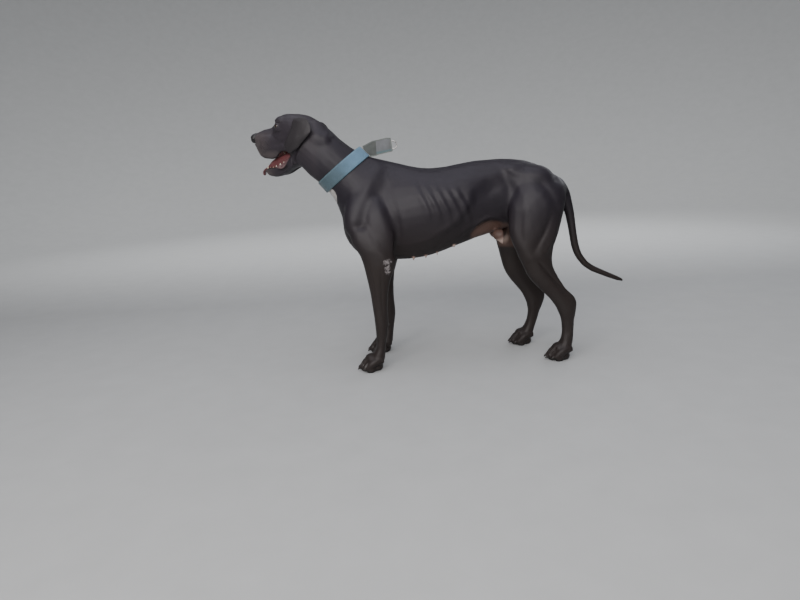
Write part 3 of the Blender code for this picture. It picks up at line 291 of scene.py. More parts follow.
paper = Finish("floor_paper", Roughness=0.75)
grey = paper.noise(9.0, 4.0)
paper.feed(Base_Color=paper.mix(grey, (0.43, 0.44, 0.43), (0.49, 0.50, 0.49)))
floor.data.materials.append(paper.made)
print("shader helpers ready")

# %% [markdown]
# One skin over the solids
#
# The solids are divided where a person would name her parts, and each division leaves a hairline
# gap. A living skin has none. So copies of the parts are swelled by less than half a millimetre,
# which closes the gaps, and a voxel remesh draws one new surface round all of them. Two skins are
# made, a fine one for the head and upper neck and a coarser one for the body. They meet beneath
# the collar. Teeth are pushed back into the jaws first, since they get pieces of their own, and
# each eye socket is filled with a ball that the lids are shaped over.

# %% Measures of the head
EYE = np.array([0.1555, 0.0335, 0.9125])
EYE_RADIUS = 0.0125
LID_THICKNESS = 0.0011
# How far each part is swelled to close the hairline gaps
SWELL = 0.0004
# Teeth: forward, out, height at the gum, height of the tip, half length, half width
UPPER_TEETH = {"canine": [(0.2430, 0.0170, 0.8300, 0.8110, 0.0042, 0.0034)],
               "incisor": [(0.2600, 0.0062, 0.8420, 0.8300, 0.0034, 0.0040)],
               "cheek": [(0.2150, 0.0205, 0.8290, 0.8185, 0.0052, 0.0028),
                         (0.1960, 0.0215, 0.8290, 0.8160, 0.0066, 0.0030),
                         (0.1740, 0.0225, 0.8290, 0.8140, 0.0095, 0.0038)]}
LOWER_TEETH = {"canine": [(0.2325, 0.0132, 0.7600, 0.7785, 0.0036, 0.0029)],
               "cheek": [(0.2165, 0.0186, 0.7625, 0.7705, 0.0040, 0.0023),
                         (0.2040, 0.0206, 0.7625, 0.7715, 0.0052, 0.0025),
                         (0.1880, 0.0228, 0.7635, 0.7765, 0.0064, 0.0027),
                         (0.1680, 0.0256, 0.7665, 0.7825, 0.0088, 0.0034),
                         (0.1500, 0.0290, 0.7730, 0.7885, 0.0060, 0.0033)]}
FLESH = [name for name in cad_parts
         if not name.startswith("collar") and not name.endswith("_eye") and name not in ("tongue", "nose")]
FACE = ["head", "lower_jaw", "left_ear", "right_ear"]
HEAD_PARTS = [name for name in FLESH if name in (*FACE, "neck")]
BODY_PARTS = [name for name in FLESH if name not in FACE]


def eye_at(side):
    return head_at(*(EYE * (1, side, 1)))


# %% Tools for meshes
def points_of(made):
    flat = np.empty(len(made.data.vertices) * 3, np.float32)
    made.data.vertices.foreach_get("co", flat)
    return flat.reshape(-1, 3).astype(float)


def normals_of(made):
    flat = np.empty(len(made.data.vertices) * 3, np.float32)
    made.data.vertex_normals.foreach_get("vector", flat)
    return flat.reshape(-1, 3).astype(float)


def set_points(made, points):
    made.data.vertices.foreach_set("co", points.astype(np.float32).ravel())
    made.data.update()


# %% Small sums
def step(value, low, high):
    """0 below low, 1 above high, and a smooth ramp between."""
    share = np.clip((value - low) / (high - low), 0, 1)
    return share * share * (3 - 2 * share)


def fade(value, low, high):
    """1 below low, 0 above high."""
    return 1 - step(value, low, high)


def bell(far, width):
    """1 in the middle, fading softly to nothing about two widths away."""
    return np.exp(-((far / width) ** 2))


def norm(vectors):
    return np.linalg.norm(vectors, axis=-1)


def unit(vectors):
    return vectors / np.maximum(np.linalg.norm(vectors, axis=-1, keepdims=True), 1e-12)


def circle(count):
    """Angles evenly round a turn."""
    return np.arange(count) * 2 * np.pi / count


# %% Working on one piece
def tree_of(made):
    """The surface of a piece, for finding places on it."""
    return BVHTree.FromObject(made, bpy.context.evaluated_depsgraph_get())


def pick(made):
    """Select one piece alone."""
    deselect()
    bpy.context.view_layer.objects.active = made
    made.select_set(True)


def edit_all(made):
    """Open one piece in edit mode with all of it selected."""
    pick(made)
    bpy.ops.object.mode_set(mode="EDIT")
    bpy.ops.mesh.select_all(action="SELECT")


def turn_outward(made):
    """Let every face of a closed piece look outward."""
    edit_all(made)
    bpy.ops.mesh.normals_make_consistent(inside=False)
    bpy.ops.object.mode_set(mode="OBJECT")


def apply(made, kind, **settings):
    """Add a modifier with these settings and apply it at once."""
    pick(made)
    modifier = made.modifiers.new(kind.title(), kind)
    for name, value in settings.items():
        setattr(modifier, name, value)
    bpy.ops.object.modifier_apply(modifier=modifier.name)


def copied(source, name):
    """A free copy of a piece, under a new name."""
    made = source.copy()
    made.data = source.data.copy()
    made.parent = None
    made.name = made.data.name = name
    for key in list(made.keys()):
        del made[key]
    bpy.context.scene.collection.objects.link(made)
    return made


def joined(pieces, name):
    """Several pieces as one."""
    deselect()
    for piece in pieces:
        piece.select_set(True)
    bpy.context.view_layer.objects.active = pieces[0]
    bpy.ops.object.join()
    made = bpy.context.active_object
    made.name = made.data.name = name
    made.data.materials.clear()
    return made


def ball(centre, radius):
    made = added("ball", bpy.ops.mesh.primitive_uv_sphere_add, segments=48, ring_count=24,
                 radius=radius, location=centre)
    bpy.ops.object.transform_apply(location=True)
    return made


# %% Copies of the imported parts
def of_frame(node):
    """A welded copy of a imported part, turned into the builder's own object."""
    made = copied(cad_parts[node], "copy_of_" + node)
    apply(made, "WELD", merge_threshold=0.00001)
    return made


def sink_teeth(made, rows, into):
    """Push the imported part's plain teeth back into its jaw, up where into is 1 and down where it is -1."""
    points = points_of(made)
    local = in_head(points)
    for s, out, gum, tip, long, wide in rows:
        from_row = abs(local[:, 1]) - out
        near = (abs(local[:, 0] - s) < long + 0.003) & (from_row > -wide - 0.002) & (from_row < wide * 0.9)
        reach = (gum - local[:, 2]) * into
        points[:, 2] = np.where(near & (reach > 0.0052), SHIFT[2] + gum - into * 0.003, points[:, 2])
    set_points(made, points)


# %% Draw the skins
def skin_over(parts, name, grain):
    """One closed surface round copies of these parts."""
    copies = []
    for part in parts:
        copy = of_frame(part)
        if part == "head":
            sink_teeth(copy, sum(UPPER_TEETH.values(), []), 1)
        if part == "lower_jaw":
            sink_teeth(copy, sum(LOWER_TEETH.values(), []), -1)
        set_points(copy, points_of(copy) + normals_of(copy) * SWELL)
        copies.append(copy)
    if "head" in parts:
        for side in (1, -1):
            copies.append(ball(eye_at(side), EYE_RADIUS + LID_THICKNESS))
    made = joined(copies, name)
    apply(made, "REMESH", mode="VOXEL", voxel_size=grain, adaptivity=0.0)
    return made


def eased(made, passes):
    """Where the skin would lie with each facet smoothed away and its girth kept."""
    rest, total = points_of(made), 0.0
    for _ in range(3):
        layer = copied(made, "layer")
        set_points(layer, rest)
        apply(layer, "SMOOTH", factor=0.5, iterations=passes)
        soft = points_of(layer)
        total, rest = total + soft, rest - soft
        bpy.data.objects.remove(layer)
    return total


def ease(made, *rounds):
    """Smooth strongly where a round's weight is one, and lightly elsewhere."""
    apply(made, "SMOOTH", factor=0.5, iterations=3)
    for weight, passes in rounds:
        points = points_of(made)
        share = weight(points)[:, None]
        set_points(made, points * (1 - share) + eased(made, passes) * share)


# %% Where the skins are eased
def calm_body(points):
    """The feet, the teats and the tail's tip keep their form."""
    x, z = in_body(points)[:, 0], in_body(points)[:, 2]
    belly = step(z, 0.455, 0.475) + step(abs(x - 0.14), 0.13, 0.16)
    return step(z, 0.060, 0.110) * np.clip(belly, 0.25, 1) * (1 - step(x, 0.70, 0.80) * 0.5)


def calm_shoulder(points):
    """The loose skin over the shoulder shows no hard edges."""
    far = norm((in_body(points)[:, [0, 2]] - (-0.080, 0.610)) / (0.105, 0.175))
    return fade(far, 0.70, 1.15)


def calm_root(points):
    """The croup runs into the tail without a step."""
    far = norm((in_body(points)[:, [0, 2]] - (0.615, 0.668)) / (0.060, 0.055))
    return fade(far, 0.70, 1.25)


def calm_neck(points):
    s, side, z = in_head(points).T
    return step(-s, -0.040, 0.020) * (1 - step(abs(side), 0.062, 0.070) * step(z, 0.82, 0.84))


def calm_face(points):
    """The lips, lids and ear rims keep their form; the crown, the cheeks and the neck are eased."""
    s, side, z = in_head(points).T
    neck = step(-s, -0.030, 0.010)
    edge = np.interp(s, [0.10, 0.16, 0.19, 0.25], [0.815, 0.815, 0.800, 0.812])
    lips = np.maximum(bell(z - edge, 0.014) * step(s, 0.09, 0.10), fade(z, 0.785, 0.795))
    lids = fade(norm(np.stack([s, abs(side), z], 1) - EYE), 0.016, 0.024)
    rims = step(abs(side), 0.060, 0.066)
    return np.maximum(neck * (1 - rims), 0.95 - 0.80 * np.maximum.reduce([lips, lids, rims * 0.75]))


def calm_brow(points):
    """The brows are low swellings that run into the forehead."""
    local = in_head(points)
    local[:, 1] = abs(local[:, 1])
    lids = fade(norm(local - EYE), 0.016, 0.024)
    return fade(norm(local - (0.150, 0.034, 0.945)), 0.022, 0.036) * (1 - lids)


def calm_head(points):
    """All of the head, and the hanging ears twice as much."""
    return 0.5 + 0.5 * step(abs(in_head(points)[:, 1]), 0.058, 0.066)


# %% The two skins
HEAD_GRAIN, BODY_GRAIN = 0.0016, 0.0028
head_skin = skin_over(HEAD_PARTS, "head_skin", HEAD_GRAIN)
body_skin = skin_over(BODY_PARTS, "body_skin", BODY_GRAIN)
ease(head_skin, (calm_head, 12), (calm_face, 50), (calm_brow, 130), (calm_neck, 170))
ease(body_skin, (calm_body, 90), (calm_shoulder, 150), (calm_root, 170))
print("head", len(head_skin.data.polygons), "body", len(body_skin.data.polygons))

# %% [markdown]
# Bone and muscle under the skin
#
# She is lean, so the last ribs, the edge of the rib cage, the crest of the shoulder blade, the
# triceps, the hip bone and the tendons of the legs draw clear lines. A person modelling her in clay
# would press and pull along each line with a thumb. The same is done here: each stroke is a line
# seen from the side, with a width and a height, and moves the skin along its own normal.


# %% Strokes
def along(line, steps=5):
    """More points on a bent line, rounded where it turns."""
    line = np.array(line, float)
    if len(line) < 3:
        return line
    at = np.linspace(0, len(line) - 1, (len(line) - 1) * steps + 1)
    i = np.clip(at.astype(int), 0, len(line) - 2)
    t = (at - i)[:, None]
    a, b = line[np.clip(i - 1, 0, None)], line[i]
    c, d = line[i + 1], line[np.clip(i + 2, None, len(line) - 1)]
    return b + t * (c - a) / 2 + t**2 * (a - 2.5 * b + 2 * c - d / 2) + t**3 * (1.5 * (b - c) + (d - a) / 2)


def distance(points, line):
    """How far each point is from a bent line, and how far along it."""
    line = along(line)
    lengths = norm(np.diff(line, axis=0))
    starts = np.concatenate([[0], np.cumsum(lengths)])
    best, place = np.full(len(points), 1e9), np.zeros(len(points))
    for a, b, start, length in zip(line[:-1], line[1:], starts, lengths):
        t = np.clip((points - a) @ (b - a) / length**2, 0, 1)
        far = norm(points - a - t[:, None] * (b - a))
        near = far < best
        best[near], place[near] = far[near], (start + t * length)[near]
    return best, place / starts[-1]


def press(made, local, facing, rows):
    """Raise the skin along lines seen from the side, or press it in where the height is below 0."""
    points = points_of(made)
    flat = local(points)
    for side in (1, -1):
        normals = normals_of(made)
        shown = step(facing(normals) * side, 0.0, 0.5) * (flat[:, 1] * side > 0.003)
        for line, width, height in rows:
            far, place = distance(flat[:, [0, 2]], line)
            ends = np.sin(np.pi * np.clip(place * 0.94 + 0.03, 0, 1)) ** 0.6
            points += normals * (height * bell(far, width) * ends * shown)[:, None]
    set_points(made, points)


# %% Ribs and muscles
# Lines on the body by place along it and height: the line, its width and how far it stands out
RIBS = [([(0.070 + 0.036 * i, 0.690 - 0.006 * i), (0.096 + 0.036 * i, 0.640 - 0.006 * i),
          (0.118 + 0.036 * i, 0.590 - 0.006 * i), (0.124 + 0.036 * i, 0.548 - 0.004 * i)], 0.0080, 0.0015)
        for i in range(5)]
BETWEEN_RIBS = [([(x + 0.018, z) for x, z in line], 0.0075, -0.0010) for line, _, _ in RIBS]
MUSCLES = [
    ([(0.075, 0.470), (0.150, 0.502), (0.215, 0.545), (0.262, 0.600), (0.275, 0.650)], 0.012, 0.0024),
    ([(0.240, 0.540), (0.285, 0.600), (0.300, 0.650)], 0.018, -0.0030),
    ([(0.384, 0.715), (0.410, 0.672), (0.424, 0.620)], 0.019, -0.0018),
    ([(0.404, 0.722), (0.436, 0.700), (0.470, 0.700)], 0.010, 0.0018),
    ([(-0.060, 0.742), (-0.088, 0.690), (-0.118, 0.630), (-0.140, 0.580)], 0.016, 0.0008),
    ([(-0.030, 0.712), (-0.058, 0.660), (-0.086, 0.610)], 0.022, -0.0008),
    ([(-0.020, 0.690), (-0.002, 0.620), (0.012, 0.550), (0.010, 0.480)], 0.012, -0.0024),
    ([(-0.112, 0.600), (-0.094, 0.550), (-0.082, 0.500), (-0.075, 0.455)], 0.010, -0.0009),
    ([(-0.060, 0.610), (-0.034, 0.560), (-0.020, 0.505), (-0.022, 0.455)], 0.014, 0.0016),
    ([(-0.110, 0.420), (-0.098, 0.350), (-0.088, 0.280), (-0.084, 0.220)], 0.0045, -0.0014),
    ([(-0.060, 0.400), (-0.064, 0.330), (-0.066, 0.260), (-0.062, 0.200)], 0.0045, -0.0016),
    ([(-0.098, 0.400), (-0.086, 0.330), (-0.078, 0.260)], 0.0050, 0.0012),
    ([(0.560, 0.560), (0.538, 0.505), (0.512, 0.455), (0.490, 0.420)], 0.0095, -0.0024),
    ([(0.582, 0.520), (0.566, 0.470), (0.540, 0.425), (0.515, 0.400)], 0.0090, 0.0014),
    ([(0.452, 0.560), (0.446, 0.500), (0.455, 0.455)], 0.010, -0.0020),
    ([(0.508, 0.385), (0.545, 0.340), (0.582, 0.297), (0.620, 0.255)], 0.0060, -0.0036),
    ([(0.535, 0.300), (0.565, 0.262), (0.590, 0.228)], 0.0050, -0.0014),
    ([(0.500, 0.680), (0.542, 0.640), (0.570, 0.590), (0.585, 0.540)], 0.012, -0.0022),
    ([(0.462, 0.640), (0.470, 0.590), (0.474, 0.540), (0.482, 0.490)], 0.016, 0.0018),
    ([(0.640, 0.165), (0.632, 0.120), (0.624, 0.085)], 0.0040, 0.0012),
    ([(0.612, 0.160), (0.614, 0.120), (0.610, 0.085)], 0.0034, -0.0012),
    ([(-0.078, 0.170), (-0.079, 0.130), (-0.082, 0.095)], 0.0034, -0.0010),
    ([(0.262, 0.480), (0.288, 0.516), (0.322, 0.543), (0.356, 0.549), (0.394, 0.540)], 0.0065, 0.0028),
    ([(0.290, 0.492), (0.322, 0.520), (0.354, 0.528), (0.384, 0.520)], 0.0090, -0.0032),
]
press(body_skin, in_body, lambda normals: normals[:, 1], RIBS + BETWEEN_RIBS + MUSCLES)
print(len(RIBS), "ribs and", len(MUSCLES), "other lines")

# %% Folds of the face
# Lines on the head by place forward and height
FOLDS = [
    ([(0.128, 0.928), (0.146, 0.9315), (0.164, 0.926)], 0.0034, 0.0011),
    ([(0.130, 0.9215), (0.148, 0.9245), (0.166, 0.9190)], 0.0026, -0.0011),
    ([(0.136, 0.9005), (0.152, 0.8968), (0.168, 0.9005)], 0.0024, 0.0007),
    ([(0.138, 0.8950), (0.153, 0.8905), (0.171, 0.8945)], 0.0028, -0.0006),
    ([(0.130, 0.8830), (0.148, 0.8760), (0.168, 0.8760)], 0.0050, 0.0006),
    ([(0.174, 0.908), (0.182, 0.894), (0.196, 0.878)], 0.0065, -0.0012),
    ([(0.112, 0.866), (0.142, 0.856), (0.172, 0.846)], 0.0055, -0.0009),
    ([(0.110, 0.852), (0.135, 0.843), (0.158, 0.833)], 0.0055, 0.0006),
    ([(0.196, 0.884), (0.222, 0.872), (0.250, 0.868)], 0.0060, -0.0008),
    ([(0.205, 0.845), (0.225, 0.848), (0.246, 0.853)], 0.0100, 0.0012),
]
press(head_skin, in_head, lambda normals: normals @ LEFT, FOLDS)
print(len(FOLDS), "folds")

# %% Soft pushes
# Soft pushes on the head: a place, its reach, and how far the skin moves forward, out and up
PUSHES = [((0.183, 0.000, 0.918), (0.016, 0.021, 0.014), (0.0125, 0.0, 0.001)),
          ((0.168, 0.028, 0.946), (0.016, 0.020, 0.010), (-0.0040, 0.0, -0.0025)),
          ((0.150, 0.036, 0.942), (0.024, 0.018, 0.016), (-0.0020, -0.0042, -0.0032)),
          ((0.146, 0.0455, 0.868), (0.018, 0.012, 0.012), (0.0, 0.0016, 0.0)),
          ((0.1605, 0.0458, 0.8300), (0.004, 0.006, 0.004), (0.0, 0.0012, 0.0))]
# The same on the body, back, sideways and up: the seat bones sink and the tail's root fills
BODY_PUSHES = [((0.588, 0.070, 0.684), (0.030, 0.040, 0.024), (-0.003, -0.004, -0.010)),
               ((0.618, 0.000, 0.664), (0.022, 0.026, 0.022), (0.001, 0.0, 0.004))]


def pushed(made, local, axes, rows):
    """Move the skin softly round each place, on both sides where it lies off the middle."""
    points = points_of(made)
    flat = local(points)
    for place, reach, move in rows:
        for side in (1, -1) if place[1] else (1,):
            weight = np.exp(-(((flat - np.array(place) * (1, side, 1)) / reach) ** 2).sum(1))[:, None]
            points += weight * ((np.array(move) * (1, side, 1)) @ axes)
    set_points(made, points)


pushed(head_skin, in_head, np.array([FORWARD, LEFT, UP]), PUSHES)
pushed(body_skin, in_body, np.eye(3), BODY_PUSHES)
print("pushed in", len(PUSHES) + len(BODY_PUSHES), "places")

# %% Toes
# Clefts between the toes, from the tips back over the foot. Each foot is a heel, a place sideways,
# a length and half a width
FEET = [(-0.066, -0.105, 0.106, 0.038), (-0.036, 0.105, 0.106, 0.038),
        (0.640, -0.103, 0.102, 0.035), (0.542, 0.103, 0.102, 0.035)]
points = points_of(body_skin)
for heel, y, length, half in FEET:
    flat, normals = in_body(points), normals_of(body_skin)
    low = fade(flat[:, 2], 0.046, 0.060) * step(normals[:, 2], -0.5, 0.1)
    tip = heel - length + 0.010
    for between, start in ((-0.54, 0.008), (0.0, -0.002), (0.54, 0.008)):
        cleft = [(tip + start, y + between * half), (tip + 0.030, y + between * half * 0.97),
                 (tip + 0.060, y + between * half * 0.72)]
        far, place = distance(flat[:, :2], cleft)
        points -= normals * (0.0042 * bell(far, 0.0030) * (1 - 0.8 * place**2) * low)[:, None]
    set_points(body_skin, points)
LOWEST = 0.0002
points[:, 2] = np.maximum(points[:, 2], LOWEST)
set_points(body_skin, points)
print("toes of", len(FEET), "feet divided")

# %% [markdown]
# Open lids
#
# The balls in the sockets left two bulges where closed lids would lie. Inside an almond round each
# line of sight the skin is drawn back behind the eyeball, and so the bulge becomes an upper and a
# lower lid. A dark wet rim of its own runs round the opening later.

# %% Cut the lids open
# Half angles of the opening round the line of sight
FISSURE = {"wide": 0.98, "up": 0.50, "down": 0.44}


def gaze(side):
    """The line of sight, and the eye's own sideways and upward directions."""
    out = 0.56 * FORWARD + 0.83 * LEFT * side + 0.03 * UP
    out /= np.linalg.norm(out)
    inward = FORWARD - out * (FORWARD @ out) - UP * 0.22
    inward = unit(inward - out * (inward @ out))
    return out, inward, np.cross(out, inward) * side


def almond(turn):
    """The rim of the opening, as angles from the line of sight."""
    height = np.where(np.sin(turn) > 0, FISSURE["up"], FISSURE["down"])
    return FISSURE["wide"] * np.cos(turn), height * np.sign(np.sin(turn)) * np.abs(np.sin(turn)) ** 1.25


def open_lids(made):
    """Inside each opening, draw the skin back behind the eyeball."""
    points = points_of(made)
    for side in (1, -1):
        centre = eye_at(side)
        out, inward, up = gaze(side)
        away = points - centre
        far = norm(away)
        near = far < EYE_RADIUS + 0.008
        rays = away[near] / far[near, None]
        wide, high = np.arctan2(rays @ inward, rays @ out), np.arcsin(np.clip(rays @ up, -1, 1))
        turn = np.arccos(np.clip(wide / FISSURE["wide"], -1, 1)) * np.where(high > 0, 1, -1)
        edge = np.abs(almond(turn)[1])
        depth = np.minimum(edge - np.abs(high), (FISSURE["wide"] - np.abs(wide)) * 0.6) * EYE_RADIUS
        sink = step(depth, -0.0004, 0.0022) * (rays @ out > 0.2)
        radius = far[near] * (1 - sink) + (EYE_RADIUS - 0.0040) * sink
        points[near] = centre + rays * radius[:, None]
    set_points(made, points)


open_lids(head_skin)
print("lids opened")


# %% Trim both skins under the collar
COLLAR_TOP, COLLAR_FOOT = body_at(-0.101, 0, 0.805), body_at(-0.251, 0, 0.692)
STRAP_WAY = unit(COLLAR_TOP - COLLAR_FOOT)
NECK_WAY = np.array([-STRAP_WAY[2], 0.0, STRAP_WAY[0]])


def trim(made, side):
    """Cut a skin off at the middle of the collar and close it there."""
    edit_all(made)
    bpy.ops.mesh.bisect(plane_co=COLLAR_TOP, plane_no=NECK_WAY * side, use_fill=True, clear_outer=True)
    bpy.ops.object.mode_set(mode="OBJECT")


def triangles(made):
    """How many triangles a piece has."""
    made.data.calc_loop_triangles()
    return len(made.data.loop_triangles)


trim(head_skin, -1)
trim(body_skin, 1)
SKIN_TRIANGLES = 194000
for skin in (head_skin, body_skin):
    apply(skin, "DECIMATE", ratio=SKIN_TRIANGLES / triangles(skin))
    skin.data.shade_smooth()
    print(skin.name, triangles(skin), "triangles")

# %% [markdown]
# Painting by place
#
# Skin and coat have to agree about every marking. So each marking is worked out from a point's
# place on the body, once for the skin's points and later in the same way for the hairs' points,
# and is stored with them as a number from 0 to 1. The markings are a white patch on the breast, a few
# pale hairs on the front toes, a rubbed callus on each foreleg, grey hairs on the muzzle and chin
# together with a painted highlight on the front edge of each ear, bare skin at the groin and the pads,
# and the lips and gums round the open mouth.


# %% Markings
# Grey hairs on the head: a place forward, out and up, its reach, how soft its edge is and its share
FROST = [((0.235, 0.000, 0.735), (0.030, 0.020, 0.018), 0.5, 0.9),
         ((0.200, 0.030, 0.815), (0.055, 0.020, 0.018), 0.5, 0.7),
         ((0.250, 0.018, 0.822), (0.028, 0.026, 0.022), 0.4, 1.0),
         ((0.224, 0.012, 0.748), (0.028, 0.017, 0.012), 0.8, 1.0)]
TEATS = [(0.060, 0.402), (0.107, 0.407), (0.150, 0.415), (0.214, 0.440)]


def blob(points, centre, radii, soft=0.35):
    """1 in the middle of an ellipsoid, fading to 0 at its edge."""
    return fade(norm((points - centre) / radii), 1 - soft, 1 + soft)


def past_nose(s, z):
    """How far forward of the rear edge of the nose leather a place lies."""
    return s - np.interp(z, [0.86, 0.90], [0.272, 0.262])


def markings(points, normals):
    """Every marking by name, as a number from 0 to 1 at each point."""
    p, h = in_body(points), in_head(points)
    x, y, z = p.T
    s, side = h[:, 0], h[:, 1]
    even = np.stack([s, abs(side), z], 1)
    on_head = step(s, -0.02, 0.01) * step(z, 0.70, 0.71)
    made = {}
    white = blob(p, (-0.228, 0.0, 0.662), (0.038, 0.052, 0.040))
    for toe_x, toe_y, size in ((-0.157, -0.105, 1.0), (-0.127, 0.105, 0.9)):
        for spread in (-0.030, -0.011, 0.011, 0.030):
            centre = (toe_x + 0.005 + abs(spread) * 0.5, toe_y + spread, 0.024)
            white = np.maximum(white, size * blob(p, centre, (0.026, 0.009, 0.016)) * 0.47)
    made["white"] = white
    callus = np.maximum(blob(p, (-0.0370, -0.142, 0.4180), (0.0175, 0.026, 0.0100), 0.6),
                        blob(p, (-0.0380, -0.140, 0.3900), (0.0130, 0.026, 0.0190), 0.6))
    callus = np.maximum(callus, blob(p, (-0.030, 0.138, 0.402), (0.011, 0.022, 0.018), 0.6) * 0.8)
    made["callus"] = callus
    frost = step(s, 0.175, 0.255) * 0.7 * step(abs(side), 0.004, 0.016) * fade(z, 0.885, 0.905)
    on_ear = step(abs(side), 0.062, 0.068) * step(z, 0.860, 0.875) * fade(z, 0.918, 0.930)
    # The ears are lightened where they face forward into the light: a painted highlight along their front
    # edges
    frost = np.maximum(frost, on_ear * step(normals @ FORWARD, 0.55, 0.85) * 0.9)
    for centre, reach, soft, share in FROST:
        frost = np.maximum(frost, blob(even, centre, reach, soft) * share)
    made["frost"] = frost * on_head
    groin = step(x, 0.300, 0.350) * fade(x, 0.455, 0.490) * fade(z, 0.505, 0.540)
    groin = np.maximum(groin, blob(p[:, [0, 2]], (0.350, 0.478), (0.076, 0.057), 0.2))
    groin = groin * fade(abs(y), 0.075, 0.090) * step(z, 0.40, 0.43)
    made["bare"] = groin
    teats = np.zeros(len(p))
    for teat_x, teat_z in TEATS:
        for teat_y in (-0.038, 0.038):
            teats = np.maximum(teats, blob(p, (teat_x, teat_y, teat_z), (0.010, 0.010, 0.013)))
    for teat_y in (-0.046, 0.046):
        teats = np.maximum(teats, blob(p, (0.400, teat_y, 0.450), (0.030, 0.022, 0.026)))
    made["teat"] = teats
    made["pad"] = fade(z, 0.010, 0.016) * step(-normals[:, 2], -0.1, 0.4)
    inner = fade(normals @ LEFT * np.sign(side), -0.30, 0.10) * fade(s, 0.240, 0.254)
    mouth = step(s, 0.085, 0.100) * fade(s, 0.262, 0.272) * on_head
    lip_line = np.interp(s, [0.09, 0.105, 0.121, 0.138, 0.153, 0.198, 0.237, 0.250],
                         [0.812, 0.810, 0.7955, 0.7785, 0.7690, 0.7685, 0.7675, 0.763])
    half = np.interp(s, [0.09, 0.103, 0.138, 0.174, 0.221, 0.237, 0.250],
                     [0.041, 0.041, 0.034, 0.0265, 0.018, 0.0105, 0.004])
    below = step(normals[:, 2], -0.3, 0.2) * fade(abs(side), half - 0.002, half + 0.001) * (z < 0.80)
    below = below * step(z, lip_line - 0.014, lip_line - 0.011)
    above = step(-normals[:, 2], -0.35, 0.1) * fade(abs(side), 0.026, 0.031) * (z > 0.80) * (z < 0.86)
    above = above * fade(s, 0.246, 0.258)
    flews = inner * (z > 0.795) * (z < 0.85) * fade(abs(side), 0.040, 0.044)
    made["gum"] = mouth * np.clip(np.maximum(np.maximum(below, above), flews), 0, 1)
    from_lip = np.stack([(z - lip_line) / 0.0045, (abs(side) - half - 0.001) / 0.0055], 1)
    low_lip = blob(from_lip, 0, 1, 0.5) * (z < 0.815)
    up_lip_z = np.interp(
        s, [0.105, 0.127, 0.146, 0.160, 0.173, 0.190, 0.209, 0.228, 0.246, 0.261, 0.272],
        [0.8160, 0.8225, 0.8225, 0.8150, 0.8030, 0.7985, 0.8000, 0.8030, 0.8110, 0.8270, 0.8440])
    up_lip = fade(z - up_lip_z, 0.0025, 0.0060) * (z > up_lip_z - 0.006) * (1 - inner)
    made["lip"] = mouth * np.maximum(low_lip, up_lip)
    beside_nose = step(past_nose(s, z), -0.0040, -0.0010) * step(z, 0.855, 0.862)
    turned_out = blob(even, (0.152, 0.034, 0.772), (0.034, 0.012, 0.016), 0.3)
    made["lip"] = np.maximum.reduce([made["lip"], turned_out * on_head, beside_nose * on_head])
    made["ear"] = step(abs(side), 0.062, 0.068) * on_head * step(z, 0.79, 0.81)
    # How high a point lies; the coat paints the sky's reflection on its upper side by this
    made["upper"] = step(z, 0.36, 0.66)
    made["leg"] = fade(z, 0.40, 0.50)
    made["face"] = on_head
    for name in ("frost", "white", "callus", "bare", "teat"):
        made[name] = made[name] * (1 - made["gum"])
    return made


def store(made, name, values):
    """Keep a number at each point of a piece, for its finish to read."""
    layer = made.data.attributes.new(name, "FLOAT", "POINT")
    layer.data.foreach_set("value", np.ascontiguousarray(values, dtype=np.float32))


for skin in (head_skin, body_skin):
    for name, values in markings(points_of(skin), normals_of(skin)).items():
        store(skin, name, values)
print("markings painted on both skins")
